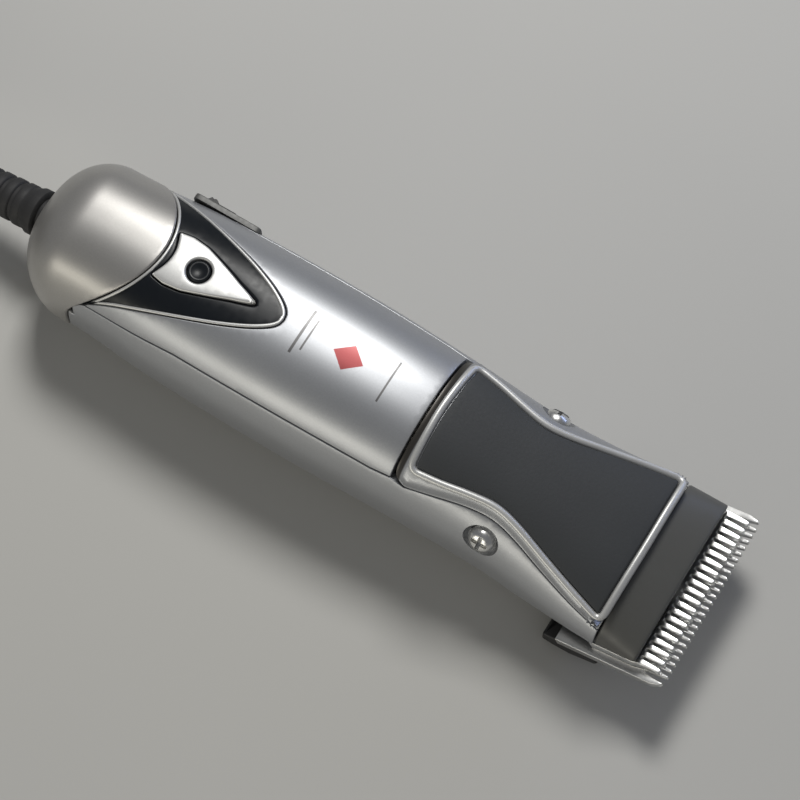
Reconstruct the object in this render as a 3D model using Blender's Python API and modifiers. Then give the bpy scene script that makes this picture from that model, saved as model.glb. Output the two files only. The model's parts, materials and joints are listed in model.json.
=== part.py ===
"""Corded hair clipper with a detachable blade set, as an assembly of separate named pieces.

Units are metres and +Z is up. The clipper lies on its flat underside. Lengths along the handle are
measured from the tail, and the whole clipper hangs on one empty that puts its middle at the origin.
"""
import bisect
import math

import bmesh
import bpy
from mathutils import Matrix, Vector

# Overall sizes
LENGTH = 0.190
GAP = 0.0003
WALL = 0.0022
ROUND_POINTS = 32
SECTION_POWER = 2.4

# The handle's form: distance from the tail, then the size there
HALF_WIDTHS = [(0, 0.0193), (0.022, 0.0197), (0.042, 0.0212), (0.080, 0.0218), (0.110, 0.0210),
               (0.135, 0.0204), (0.150, 0.0214), (0.165, 0.0228), (0.184, 0.0235)]
TOPS = [(0, 0.0400), (0.022, 0.0415), (0.042, 0.0425), (0.080, 0.0428), (0.110, 0.0415),
        (0.135, 0.0370), (0.150, 0.0340), (0.165, 0.0306), (0.184, 0.0250)]
UNDERSIDES = [(0, 0.0006), (0.022, -0.0008), (0.042, -0.0012), (0.140, -0.0012), (0.150, 0.0002),
              (0.165, 0.0060), (0.184, 0.0130)]
TAIL_ROUND = 0.014
TAIL_BLUNT = 0.2
BODY_END = 0.184

# Seams of the covers
CAP_SEAM_X = 0.014
CAP_PROUD = 0.0004
CAP_REACH = 0.0220
CAP_HALF = 0.0200
CAP_FLOOR = 0.011
TRIM_TIP = 0.070
UPPER_HALF = 0.0183
UPPER_FLOOR = 0.020
TRIM_FLOOR = 0.0236
UPPER_END = 0.1105
HOOD_FLOOR = 0.018
HOOD_END = 0.1700
NOSE_END = 0.1810
HOOD_LIFT = 0.0016
RIM_WIDTH = 0.0020
RIM_LIFT = 0.0030
PANEL_LIFT = 0.0027

# Blade set, tilted on its hinge
TILT = math.radians(20)
COMB_THICK = 0.0026
COMB_DEPTH = 0.030
COMB_HALF = 0.0244
CUTTER_THICK = 0.0027
CUTTER_HALF = 0.0224
CUTTER_DEPTH = 0.019
CUTTER_SETBACK = 0.0016
COMB_TEETH = 25
CUTTER_TEETH = 21
TIP_X = LENGTH - COMB_THICK * math.sin(TILT)
TIP_Z = 0.019
HINGE = Vector((0.159, 0, 0.005))

# Drive train
MOTOR_Z = 0.017
GEAR_MODULE = 0.0007
PINION_TEETH = 12
GEAR_TEETH = 24
GEAR_Z = MOTOR_Z + GEAR_MODULE * (PINION_TEETH + GEAR_TEETH) / 2
CRANK_THROW = 0.0013
SHAFT_RADIUS = 0.0016
LEVER_PIVOT = Vector((0.148, 0, 0.025))

# Controls
BUTTON = Vector((0.0460, 0, 0.0375))
BUTTON_RADIUS = 0.0029
BUTTON_TOP = 0.0429
LATCH = Vector((0.1370, 0, 0.0030))
SCREW_X = 0.1358
SCREW_LEAN = math.radians(32)

# Cord
CORD_RADIUS = 0.00325
RELIEF_LENGTH = 0.046
RELIEF_Z = 0.0200
RELIEF_DROOP = math.radians(8)
RELIEF_OUT = Vector((-math.cos(RELIEF_DROOP), 0, -math.sin(RELIEF_DROOP)))
HANK_INNER_BEND = 0.0195
HANK_COLUMNS = 3
HANK_LAYERS = 4
HANK_STRAIGHT = 0.036
HANK_START = Vector((-0.0993, -0.0113, 0))
PLUG_BEND = 0.020
TIE_BACK = 0.0045
TIE_THICK = 0.0008

for old in list(bpy.data.objects):
    bpy.data.objects.remove(old)

PARTS = bpy.data.collections.new("hair_clipper")
CUTTERS = bpy.data.collections.new("cutters")
bpy.context.scene.collection.children.link(PARTS)
bpy.context.scene.collection.children.link(CUTTERS)
ROOT = bpy.data.objects.new("clipper_middle", None)
ROOT.location = (-(LENGTH - CAP_PROUD) / 2, 0, 0)
PARTS.objects.link(ROOT)

ALONG_Y = Matrix.Rotation(math.pi / 2, 4, "X")
ALONG_X = Matrix(((0, 0, 1, 0), (1, 0, 0, 0), (0, 1, 0, 0), (0, 0, 0, 1)))
BLADE = Matrix.Translation((TIP_X, 0, TIP_Z)) @ Matrix.Rotation(-TILT, 4, "Y")


# ---------------------------------------------------------------- materials
def material(name, colour, roughness, metallic=0.0):
    """A plain Principled material."""
    made = bpy.data.materials.new(name)
    made.use_nodes = True
    shader = made.node_tree.nodes["Principled BSDF"]
    shader.inputs["Base Color"].default_value = (*colour, 1)
    shader.inputs["Roughness"].default_value = roughness
    shader.inputs["Metallic"].default_value = metallic
    made.diffuse_color = (*colour, 1)
    return made


SILVER = material("silver_paint", (0.42, 0.43, 0.44), 0.35, 0.6)
BLACK_GLOSS = material("black_gloss", (0.012, 0.014, 0.018), 0.15)
BLACK_MATT = material("black_matt", (0.02, 0.02, 0.02), 0.6)
BLACK_RUBBER = material("black_rubber", (0.015, 0.015, 0.015), 0.75)
SOFT_PANEL = material("soft_panel", (0.045, 0.05, 0.05), 0.7)
NOSE_GREY = material("nose_grey", (0.09, 0.09, 0.085), 0.5)
BRIGHT = material("bright_silver", (0.62, 0.62, 0.60), 0.25, 0.8)
STEEL = material("ground_steel", (0.70, 0.70, 0.68), 0.2, 1.0)
DARK_STEEL = material("dark_steel", (0.25, 0.25, 0.26), 0.4, 1.0)
BRASS = material("brass", (0.70, 0.50, 0.20), 0.3, 1.0)
COPPER = material("copper", (0.72, 0.35, 0.20), 0.35, 1.0)
FERRITE = material("ferrite", (0.06, 0.06, 0.065), 0.8)
WHITE_NYLON = material("white_nylon", (0.75, 0.74, 0.70), 0.5)
GREEN_BOARD = material("green_board", (0.05, 0.22, 0.08), 0.5)
ORANGE_FILM = material("orange_film", (0.70, 0.25, 0.05), 0.4)


# ---------------------------------------------------------------- making meshes
def tidy(bm):
    """Weld a bmesh and turn its faces outwards."""
    bmesh.ops.remove_doubles(bm, verts=bm.verts, dist=1e-6)
    bmesh.ops.recalc_face_normals(bm, faces=bm.faces)


def to_mesh(bm, name):
    mesh = bpy.data.meshes.new(name)
    bm.to_mesh(mesh)
    bm.free()
    return mesh


def from_curve(curve, name):
    """A curve's filled surface as a welded mesh."""
    guide = bpy.data.objects.new(name, curve)
    bpy.context.scene.collection.objects.link(guide)
    seen = guide.evaluated_get(bpy.context.evaluated_depsgraph_get())
    mesh = bpy.data.meshes.new_from_object(seen)
    bpy.data.objects.remove(guide)
    bm = bmesh.new()
    bm.from_mesh(mesh)
    tidy(bm)
    bm.to_mesh(mesh)
    bm.free()
    return mesh


def plate(outlines, low, high, turn=None, name="plate"):
    """Closed flat outlines, the first the outer one, with a thickness from low to high."""
    curve = bpy.data.curves.new(name, "CURVE")
    curve.dimensions = "2D"
    curve.fill_mode = "BOTH"
    curve.extrude = (high - low) / 2
    for outline in outlines:
        spline = curve.splines.new("POLY")
        spline.points.add(len(outline) - 1)
        spline.use_cyclic_u = True
        for point, (x, y) in zip(spline.points, outline):
            point.co = (x, y, 0, 1)
    mesh = from_curve(curve, name)
    mesh.transform(Matrix.Translation((0, 0, (low + high) / 2)))
    if turn:
        mesh.transform(turn)
    return mesh


def box(low, high, name="box"):
    bm = bmesh.new()
    bmesh.ops.create_cube(bm, size=1)
    size = Vector(high) - Vector(low)
    bmesh.ops.scale(bm, vec=size, verts=bm.verts)
    bmesh.ops.translate(bm, vec=(Vector(high) + Vector(low)) / 2, verts=bm.verts)
    return to_mesh(bm, name)


def rod(start, end, radius, sides=24, end_radius=None, name="rod"):
    """A straight round bar between two points, tapered when end_radius is given."""
    start, end = Vector(start), Vector(end)
    bm = bmesh.new()
    bmesh.ops.create_cone(
        bm,
        cap_ends=True,
        segments=sides,
        radius1=radius,
        radius2=radius if end_radius is None else end_radius,
        depth=(end - start).length,
    )
    mesh = to_mesh(bm, name)
    turn = (end - start).to_track_quat("Z", "Y").to_matrix().to_4x4()
    mesh.transform(Matrix.Translation((start + end) / 2) @ turn)
    return mesh


def turned(profile, base, axis, steps=28, ring=False, name="turned"):
    """A turned shape: (radius, height) points down its outer side, on an axis through base."""
    mesh = bpy.data.meshes.new(name)
    points = [(radius, 0, height) for radius, height in profile]
    edges = [(i, i + 1) for i in range(len(points) - 1)]
    if ring:
        edges.append((len(points) - 1, 0))
    mesh.from_pydata(points, edges, [])
    guide = bpy.data.objects.new(name, mesh)
    bpy.context.scene.collection.objects.link(guide)
    screw = guide.modifiers.new("turn", "SCREW")
    screw.steps = steps
    screw.render_steps = steps
    screw.use_merge_vertices = True
    screw.merge_threshold = 0.00001
    seen = guide.evaluated_get(bpy.context.evaluated_depsgraph_get())
    made = bpy.data.meshes.new_from_object(seen)
    bpy.data.objects.remove(guide)
    bm = bmesh.new()
    bm.from_mesh(made)
    tidy(bm)
    bm.to_mesh(made)
    bm.free()
    turn = Vector(axis).to_track_quat("Z", "Y").to_matrix().to_4x4()
    made.transform(Matrix.Translation(base) @ turn)
    return made


def tube(points, radius, resolution=2, name="tube"):
    """A round tube along points, with filled ends."""
    curve = bpy.data.curves.new(name, "CURVE")
    curve.dimensions = "3D"
    curve.bevel_depth = radius
    curve.bevel_resolution = resolution
    curve.use_fill_caps = True
    spline = curve.splines.new("POLY")
    spline.points.add(len(points) - 1)
    for point, place in zip(spline.points, points):
        point.co = (*place, 1)
    return from_curve(curve, name)


def circle(centre, radius, sides=24):
    turns = [2 * math.pi * i / sides for i in range(sides)]
    return [(centre[0] + radius * math.cos(a), centre[1] + radius * math.sin(a)) for a in turns]


# ---------------------------------------------------------------- making objects
def add_part(name, mesh, finish, pivot=(0, 0, 0), matrix=None):
    """One sub-part in the clipper's frame. A moving one has its pivot on its joint's axis."""
    if matrix:
        mesh.transform(matrix)
    mesh.transform(Matrix.Translation(-Vector(pivot)))
    mesh.name = name
    mesh.materials.clear()
    mesh.materials.append(finish)
    mesh.shade_smooth()
    mesh.set_sharp_from_angle(angle=math.radians(35))
    made = bpy.data.objects.new(name, mesh)
    made.location = pivot
    made.parent = ROOT
    PARTS.objects.link(made)
    return made


def cutter(name, mesh):
    made = bpy.data.objects.new(name, mesh)
    made.parent = ROOT
    made.hide_render = True
    made.display_type = "WIRE"
    CUTTERS.objects.link(made)
    return made


def cut(part, tool, operation="DIFFERENCE"):
    change = part.modifiers.new(f"{operation.lower()}_{tool.name}", "BOOLEAN")
    change.operation = operation
    change.solver = "EXACT"
    change.object = tool


# ---------------------------------------------------------------- the handle's form
def smooth(table, x):
    """A smooth value at x through a table's (place, value) pairs."""
    places = [p for p, _ in table]
    i = min(max(bisect.bisect_right(places, x) - 1, 0), len(table) - 2)
    (x0, y0), (x1, y1) = table[i], table[i + 1]

    def slope(k):
        low, high = max(k - 1, 0), min(k + 1, len(table) - 1)
        return (table[high][1] - table[low][1]) / (table[high][0] - table[low][0])

    t = min(max((x - x0) / (x1 - x0), 0), 1)
    span = x1 - x0
    start = (2 * t**3 - 3 * t**2 + 1) * y0 + (t**3 - 2 * t**2 + t) * span * slope(i)
    return start + (3 * t**2 - 2 * t**3) * y1 + (t**3 - t**2) * span * slope(i + 1)


def section(x, grow):
    """Half width, underside and top of the handle at x, grown outwards or inwards."""
    along = min(max((x - (-grow if x < TAIL_ROUND else 0)) / TAIL_ROUND, 0), 1)
    fullness = TAIL_BLUNT + (1 - TAIL_BLUNT) * math.sqrt(1 - (1 - along) ** 2)
    low, high = smooth(UNDERSIDES, x), smooth(TOPS, x)
    middle = (low + high) / 2
    half = (high - low) / 2 * fullness + grow
    return smooth(HALF_WIDTHS, x) * fullness + grow, middle, half


def ring_at(x, grow, count):
    """Points round the handle's section at x. Its underside is planed flat for a rest."""
    width, middle, half = section(x, grow)
    points = []
    for i in range(count):
        turn = 2 * math.pi * i / count
        c, s = math.cos(turn), math.sin(turn)
        y = width * math.copysign(abs(c) ** (2 / SECTION_POWER), c)
        z = middle + half * math.copysign(abs(s) ** (2 / SECTION_POWER), s)
        points.append((x, y, max(z, -grow)))
    return points


def stations(start, end):
    """Places of the sections: close together round the tail, then evenly spread."""
    near = [start + (TAIL_ROUND - start) * (1 - math.cos(math.pi / 2 * i / 5)) for i in range(5)]
    count = 17
    return near + [TAIL_ROUND + (end - TAIL_ROUND) * i / count for i in range(count + 1)]


def loft(bm, grow, start, end, count, inwards=False):
    """A closed skin over the handle's sections, from start to end."""
    rings = [[bm.verts.new(p) for p in ring_at(x, grow, count)] for x in stations(start, end)]
    faces = []
    for left, right in zip(rings, rings[1:]):
        for i in range(count):
            j = (i + 1) % count
            faces.append(bm.faces.new((left[i], right[i], right[j], left[j])))
    faces.append(bm.faces.new(rings[0]))
    faces.append(bm.faces.new(rings[-1][::-1]))
    bmesh.ops.recalc_face_normals(bm, faces=faces)
    if inwards:
        bmesh.ops.reverse_faces(bm, faces=faces)


def skin(outer_grow, inner_grow):
    """The handle's wall between two grown forms, closed at both ends."""
    bm = bmesh.new()
    loft(bm, outer_grow, -outer_grow, BODY_END + outer_grow, ROUND_POINTS)
    loft(bm, inner_grow, -inner_grow, BODY_END + inner_grow, ROUND_POINTS, inwards=True)
    return to_mesh(bm, "skin")


# ---------------------------------------------------------------- outlines seen from above
def mirrored(half):
    """A closed outline from its +Y half, which runs from the rear to the front."""
    other = [(x, -y) for x, y in reversed(half) if abs(y) > 1e-6]
    return list(half) + other


def outset(outline, distance):
    """The outline moved outwards all round."""
    moved = []
    count = len(outline)
    area = sum(
        outline[i][0] * outline[(i + 1) % count][1] - outline[(i + 1) % count][0] * outline[i][1]
        for i in range(count)
    )
    side = math.copysign(1, area)
    for i in range(count):
        (xa, ya), (xb, yb), (xc, yc) = outline[i - 1], outline[i], outline[(i + 1) % count]
        first = Vector((yb - ya, xa - xb)).normalized() * side
        second = Vector((yc - yb, xb - xc)).normalized() * side
        normal = (first + second) / max(1 + first.dot(second), 0.3)
        moved.append((xb + normal.x * distance, yb + normal.y * distance))
    return moved


def cap_front(shift=0.0):
    """The tail cap's bulging front edge, from the far side to the near side."""
    turns = [math.pi / 2 * i / 6 for i in range(-6, 7)]
    return [
        (CAP_SEAM_X + shift + CAP_REACH * math.cos(a), -CAP_HALF * math.sin(a)) for a in turns
    ]


def cap_outline(shift=0.0):
    edge = cap_front(shift)
    wide = CAP_HALF + 0.004
    return [(-0.006, -wide), (-0.006, wide), (edge[0][0], wide), *edge, (edge[0][0], -wide)]


def trim_outline(shift=0.0):
    """The dark trim behind the cap's front edge: two arms that meet in a round tip."""
    arms = [(0.0150, 0.0240), (0.0175, 0.0240), (0.0200, 0.0190), (0.0290, 0.0168),
            (0.0380, 0.0147), (0.0470, 0.0122), (0.0560, 0.0093), (0.0630, 0.0064),
            (0.0675, 0.0038), (0.0695, 0.0018), (TRIM_TIP, 0)]
    return outset(mirrored(arms), shift)


def badge_outline(shift=0.0):
    """The arrowhead badge round the push button. Its rear follows the cap."""
    arms = [(0.0383, 0), (0.0380, 0.0022), (0.0372, 0.0044), (0.0362, 0.0064), (0.0400, 0.0071),
            (0.0445, 0.0066), (0.0500, 0.0048), (0.0560, 0.0026), (0.0610, 0.0009), (0.0625, 0)]
    return outset(mirrored(arms), shift)


def upper_outline(shift=0.0):
    arms = [(0.012, UPPER_HALF), (0.050, UPPER_HALF + 0.0003), (0.085, UPPER_HALF + 0.0003),
            (0.105, UPPER_HALF - 0.0002), (UPPER_END, UPPER_HALF - 0.0008)]
    return outset(mirrored(arms), shift)


def panel_outline(shift=0.0):
    """The hourglass grip panel on the hood."""
    arms = [(0.1152, 0.0128), (0.1220, 0.0119), (0.1290, 0.0106), (0.1358, 0.0098),
            (0.1425, 0.0108), (0.1520, 0.0134), (0.1610, 0.0158), (0.1685, 0.0176)]
    rear = [(0.1145, 0), (0.1148, 0.0070)]
    return outset(mirrored([*rear, *arms, (0.1688, 0)]), shift)


def hood_outline(shift=0.0):
    """The raised hood round the panel, with a straight front."""
    arms = [(UPPER_END + GAP, 0), (UPPER_END + GAP, 0.0150), (0.1118, 0.0172), (0.1142, 0.0177),
            (0.1210, 0.0164), (0.1290, 0.0146), (0.1358, 0.0138), (0.1425, 0.0148),
            (0.1520, 0.0174), (0.1610, 0.0197), (HOOD_END - GAP, 0.0214), (HOOD_END - GAP, 0)]
    return outset(mirrored(arms), shift)


# ---------------------------------------------------------------- casings and covers
def add_covers():
    """The silver shells, the dark trim, the badge, the hood and the nose."""
    high = 0.060
    half_gap = GAP / 2
    tools = {
        "cap": plate([cap_outline(-half_gap)], CAP_FLOOR + half_gap, high),
        "cap_room": plate([cap_outline(half_gap)], CAP_FLOOR - half_gap, high),
        "trim": plate([trim_outline(-half_gap)], TRIM_FLOOR, high),
        "trim_room": plate([trim_outline(half_gap)], TRIM_FLOOR - GAP, high),
        "badge": plate([badge_outline(-half_gap)], UPPER_FLOOR, high),
        "badge_room": plate([badge_outline(half_gap)], UPPER_FLOOR, high),
        "upper": plate([upper_outline(-half_gap)], UPPER_FLOOR, high),
        "upper_room": plate([upper_outline(half_gap)], UPPER_FLOOR - GAP, high),
        "hood": plate([hood_outline(-half_gap)], HOOD_FLOOR, high),
        "hood_room": plate([hood_outline(half_gap)], HOOD_FLOOR - GAP, high),
        "nose": box((HOOD_END + half_gap, -0.04, 0.002), (NOSE_END, 0.04, high)),
        "nose_room": box((HOOD_END - half_gap, -0.04, -0.01), (0.2, 0.04, high)),
        "mouth": plate([mouth_outline()], -0.04, 0.04, ALONG_Y),
    }
    tools = {name: cutter(f"{name}_tool", mesh) for name, mesh in tools.items()}
    add_casings(tools)
    add_trim(tools)
    add_hood(tools)


def mouth_outline():
    """The open front under the nose, where the blade set and its hinge sit and swing."""
    rise = math.tan(TILT)
    lift = (CUTTER_THICK + 0.0012) / math.cos(TILT)
    rear, front = 0.1546, 0.2

    def height(x):
        return TIP_Z + (x - TIP_X) * rise + lift

    return [(rear, -0.01), (front, -0.01), (front, height(front)), (rear, height(rear))]


def add_casings(tools):
    lower = add_part("lower_casing", skin(0, -WALL), SILVER)
    for name in ("cap_room", "trim_room", "upper_room", "hood_room", "nose_room", "mouth"):
        cut(lower, tools[name])
    upper = add_part("upper_casing", skin(0, -WALL), SILVER)
    cut(upper, tools["upper"], "INTERSECT")
    cut(upper, tools["trim_room"])
    cut(upper, tools["cap_room"])
    cap = add_part("tail_cap", skin(CAP_PROUD, -WALL), SILVER)
    cut(cap, tools["cap"], "INTERSECT")
    nose = add_part("nose_cover", skin(-0.0004, -WALL), NOSE_GREY)
    cut(nose, tools["nose"], "INTERSECT")
    cut(nose, tools["mouth"])
    mouth = Vector((0, 0, RELIEF_Z))
    hole = rod(mouth + RELIEF_OUT * 0.010, mouth - RELIEF_OUT * 0.012, 0.0050)
    relief_hole = cutter("relief_hole", hole)
    cut(cap, relief_hole)


def add_trim(tools):
    trim = add_part("tail_trim", skin(-0.0002, -WALL), BLACK_GLOSS)
    cut(trim, tools["trim"], "INTERSECT")
    cut(trim, tools["cap_room"])
    cut(trim, tools["badge_room"])
    badge = add_part("button_badge", skin(0.0003, -WALL), BRIGHT)
    cut(badge, tools["badge"], "INTERSECT")
    button_hole = cutter(
        "button_hole",
        rod((BUTTON.x, 0, 0.030), (BUTTON.x, 0, 0.050), BUTTON_RADIUS + GAP, sides=20),
    )
    cut(badge, button_hole)


def add_hood(tools):
    hood = add_part("front_hood", skin(HOOD_LIFT, -WALL), SILVER)
    cut(hood, tools["hood"], "INTERSECT")
    rim_tool = cutter(
        "rim_tool",
        plate([panel_outline(RIM_WIDTH), panel_outline(GAP / 2)], 0.020, 0.060),
    )
    panel_tool = cutter("panel_tool", plate([panel_outline(-GAP / 2)], 0.020, 0.060))
    rim = add_part("hood_rim", skin(RIM_LIFT, HOOD_LIFT + GAP), BRIGHT)
    cut(rim, rim_tool, "INTERSECT")
    panel = add_part("hood_panel", skin(PANEL_LIFT, HOOD_LIFT + GAP), SOFT_PANEL)
    cut(panel, panel_tool, "INTERSECT")


# ---------------------------------------------------------------- blade set
def toothed(half, depth, teeth, tooth_length, root_share, tip_share, corner=0.0):
    """A blade seen from above: its teeth point to +X, and their tips are at x = 0."""
    pitch = 2 * (half - corner) / teeth
    outline = [(-depth, -half), (-tooth_length - 0.002, -half)]
    if corner:
        outline += [(-0.003, -half), (-0.0008, -half + 0.0006), (-0.0004, -half + corner * 0.55),
                    (-tooth_length, -half + corner * 0.8)]
    for i in range(teeth):
        middle = -half + corner + pitch * (i + 0.5)
        outline += [(-tooth_length, middle - pitch * root_share), (0, middle - pitch * tip_share),
                    (0, middle + pitch * tip_share), (-tooth_length, middle + pitch * root_share)]
    if corner:
        outline += [(-tooth_length, half - corner * 0.8), (-0.0004, half - corner * 0.55),
                    (-0.0008, half - 0.0006), (-0.003, half)]
    return outline + [(-tooth_length - 0.002, half), (-depth, half)]


def add_blade_set():
    """Comb, cutter, its guide and spring, and the socket that takes the hinge tongue."""
    comb_outline = toothed(COMB_HALF, COMB_DEPTH, COMB_TEETH, 0.0062, 0.36, 0.20, 0.0022)
    comb = plate([comb_outline], -COMB_THICK, 0)
    add_part("comb_blade", comb, STEEL, HINGE, BLADE)

    cutter_low = GAP
    cutter_high = GAP + CUTTER_THICK
    front = -CUTTER_SETBACK
    teeth = toothed(CUTTER_HALF, CUTTER_DEPTH, CUTTER_TEETH, 0.0055, 0.34, 0.24)
    shifted = [(x + front, y) for x, y in teeth]
    add_part("cutter_blade", plate([shifted], cutter_low, cutter_high), STEEL, HINGE, BLADE)

    floor = cutter_high + GAP
    guide = add_part(
        "cutter_guide",
        box((-0.0185, -0.0042, floor), (-0.0112, 0.0042, floor + 0.0029)),
        BLACK_MATT,
        HINGE,
        BLADE,
    )
    slot = box((-0.020, -0.00195, floor + 0.0008), (-0.010, 0.00195, floor + 0.004))
    slot.transform(BLADE)
    cut(guide, cutter("guide_slot", slot))

    socket = add_part(
        "blade_socket",
        box((-0.0292, -0.0085, GAP), (-0.0212, 0.0085, 0.0034)),
        DARK_STEEL,
        HINGE,
        BLADE,
    )
    tunnel = box((-0.031, -0.0066, 0), (-0.020, 0.0066, 0.0024))
    tunnel.transform(BLADE)
    cut(socket, cutter("socket_tunnel", tunnel))
    add_blade_spring()


def add_blade_spring():
    """The leaf that presses the cutter on the comb, and the two screws that hold it."""
    low, high = 0.0037, 0.0044
    half = [(-0.0290, 0), (-0.0290, 0.0160), (-0.0236, 0.0160), (-0.0236, 0.0118),
            (-0.0120, 0.0108), (-0.0120, 0.0078), (-0.0236, 0.0078), (-0.0236, 0)]
    leaf = plate([mirrored(half)], low, high)
    leaf = add_part("blade_spring", leaf, STEEL, HINGE, BLADE)
    for side, name in ((1, "far"), (-1, "near")):
        place = Vector((-0.0262, side * 0.0132, 0))
        hole = rod(place, place + Vector((0, 0, 0.010)), 0.0017, sides=16)
        hole.transform(BLADE)
        cut(leaf, cutter(f"spring_hole_{name}", hole))
        profile = [(0, high + 0.0015), (0.0022, high + 0.0013), (0.0026, high + 0.0008),
                   (0.0026, high + GAP), (0.0014, high + GAP), (0.0014, GAP), (0, GAP)]
        screw = turned(profile, place, (0, 0, 1), steps=16)
        add_part(f"blade_screw_{name}", screw, DARK_STEEL, HINGE, BLADE)


def add_hinge():
    """The tongue that carries the blade set, the pin it swings on and the fixed bracket."""
    def on_blade(u, w):
        point = BLADE @ Vector((u, 0, w))
        return point.x, point.z

    tongue_outline = [
        (HINGE.x - 0.0018, HINGE.z - 0.0014),
        (HINGE.x + 0.0000, HINGE.z - 0.0023),
        (HINGE.x + 0.0019, HINGE.z - 0.0010),
        (HINGE.x + 0.0022, HINGE.z + 0.0004),
        (HINGE.x + 0.0012, HINGE.z + 0.0030),
        on_blade(-0.0296, GAP),
        on_blade(-0.0215, GAP),
        on_blade(-0.0210, 0.0011),
        on_blade(-0.0215, 0.0019),
        on_blade(-0.0312, 0.0019),
        (HINGE.x - 0.0020, HINGE.z + 0.0028),
        (HINGE.x - 0.0022, HINGE.z),
    ]
    tongue = plate([tongue_outline], -0.0062, 0.0062, ALONG_Y)
    tongue = add_part("blade_hinge", tongue, DARK_STEEL, HINGE)
    bore = rod((HINGE.x, -0.015, HINGE.z), (HINGE.x, 0.015, HINGE.z), 0.0015, sides=20)
    pin_bore = cutter("pin_bore", bore)
    cut(tongue, pin_bore)

    bracket_outline = [(0.1480, 0.0057), (0.1569, 0.0057), (0.1576, 0.0028), (0.1604, 0.0028),
                       (0.1612, 0.0042), (0.1612, 0.0060), (0.1602, 0.0072), (0.1578, 0.0080),
                       (0.1480, 0.0080)]
    bracket = add_part(
        "hinge_bracket", plate([bracket_outline], -0.0096, 0.0096, ALONG_Y), BLACK_MATT
    )
    cut(bracket, pin_bore)
    room = box((0.1560, -0.0066, -0.001), (0.170, 0.0066, 0.020))
    cut(bracket, cutter("knuckle_room", room))
    pin = rod((HINGE.x, -0.0102, HINGE.z), (HINGE.x, 0.0102, HINGE.z), 0.0012, sides=20)
    add_part("hinge_pin", pin, STEEL)

    skirt_outline = [(0.1573, 0.0010), (0.1600, 0.0006), (0.1650, 0.0010), (0.1720, 0.0046),
                     (0.1725, 0.0062), on_blade(-0.0205, -COMB_THICK - 0.0005),
                     on_blade(-0.0295, -COMB_THICK - 0.0005), (0.1573, 0.0046)]
    skirt = add_part("hinge_cover", plate([skirt_outline], -0.0238, 0.0238, ALONG_Y),
                     BLACK_MATT, HINGE)
    recess = box((0.1565, -0.0110, -0.001), (0.1622, 0.0110, 0.020))
    cut(skirt, cutter("cover_recess", recess))


# ---------------------------------------------------------------- controls
def spring_wire(centre, radius, low, high, turns, wire):
    """A coil spring standing along Z."""
    count = turns * 9
    points = []
    for i in range(count + 1):
        share = i / count
        turn = 2 * math.pi * turns * share
        points.append((
            centre[0] + radius * math.cos(turn),
            centre[1] + radius * math.sin(turn),
            low + wire + (high - low - 2 * wire) * share,
        ))
    return tube(points, wire)


def add_controls():
    """The push button, the slide switch, the latch button and what they work."""
    profile = [(0, BUTTON_TOP), (0.0014, BUTTON_TOP - 0.0002), (0.0024, BUTTON_TOP - 0.0004),
               (BUTTON_RADIUS, BUTTON_TOP - 0.0010), (BUTTON_RADIUS, 0.0377), (0.0040, 0.0377),
               (0.0040, 0.0365), (0.0012, 0.0365), (0.0012, 0.0341), (0, 0.0341)]
    add_part("power_button", turned(profile, (BUTTON.x, 0, 0), (0, 0, 1), 20), BLACK_GLOSS, BUTTON)
    spring = spring_wire((BUTTON.x, 0), 0.0024, 0.0327, 0.0362, 4, 0.0003)
    add_part("button_spring", spring, STEEL)
    add_part("button_switch", box((0.0400, -0.0050, 0.0266), (0.0520, 0.0050, 0.0324)), BLACK_MATT)

    lower = bpy.data.objects["lower_casing"]
    slide_slot = box((0.0330, 0.0150, 0.0284), (0.0480, 0.0300, 0.0316))
    slide_slot = cutter("slide_slot", slide_slot)
    cut(lower, slide_slot)
    cut(bpy.data.objects["upper_casing"], slide_slot)
    plate_room = box((0.0306, 0.0188, 0.0266), (0.0504, 0.0300, 0.0334))
    cut(lower, cutter("switch_plate_room", plate_room))
    frame = [(0.0310, 0.0270), (0.0500, 0.0270), (0.0500, 0.0330), (0.0310, 0.0330)]
    opening = [(0.0334, 0.0286), (0.0476, 0.0286), (0.0476, 0.0314), (0.0334, 0.0314)]
    add_part("switch_plate", plate([frame, opening], -0.0206, -0.0192, ALONG_Y), NOSE_GREY)
    slider_outline = [(0.0338, 0.0212), (0.0345, 0.0222), (0.0360, 0.0222), (0.0367, 0.0214),
                      (0.0420, 0.0214), (0.0421, 0.0170), (0.0338, 0.0170)]
    slider = plate([slider_outline], 0.0289, 0.0311)
    add_part("switch_slider", slider, BLACK_MATT, (0.0380, 0.0196, 0.0300))
    add_part("switch_body", box((0.0320, 0.0090, 0.0262), (0.0490, 0.0140, 0.0322)), BLACK_MATT)

    latch_hole = cutter("latch_hole", rod((LATCH.x, 0, -0.01), (LATCH.x, 0, 0.006), 0.0046))
    cut(lower, latch_hole)
    profile = [(0, 0.0060), (0.0016, 0.0060), (0.0016, 0.0042), (0.0060, 0.0042),
               (0.0060, 0.0027), (0.0043, 0.0027), (0.0043, 0.0012), (0.0038, 0.0008),
               (0, 0.0008)]
    latch = turned(profile, (LATCH.x, 0, 0), (0, 0, 1), 24)
    add_part("latch_button", latch, BLACK_MATT, LATCH)
    spring = spring_wire((LATCH.x, 0), 0.0030, 0.0045, 0.0083, 4, 0.00035)
    add_part("latch_spring", spring, STEEL)


# ---------------------------------------------------------------- drive train
def gear_outline(teeth, tip, root, tip_share, root_share, start=0.0):
    """A toothed wheel seen along its axis."""
    outline = []
    pitch = 2 * math.pi / teeth
    for i in range(teeth):
        middle = start + i * pitch
        for radius, offset in ((root, -root_share), (tip, -tip_share),
                               (tip, tip_share), (root, root_share)):
            turn = middle + offset * pitch
            outline.append((radius * math.cos(turn), radius * math.sin(turn)))
    return outline


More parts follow.
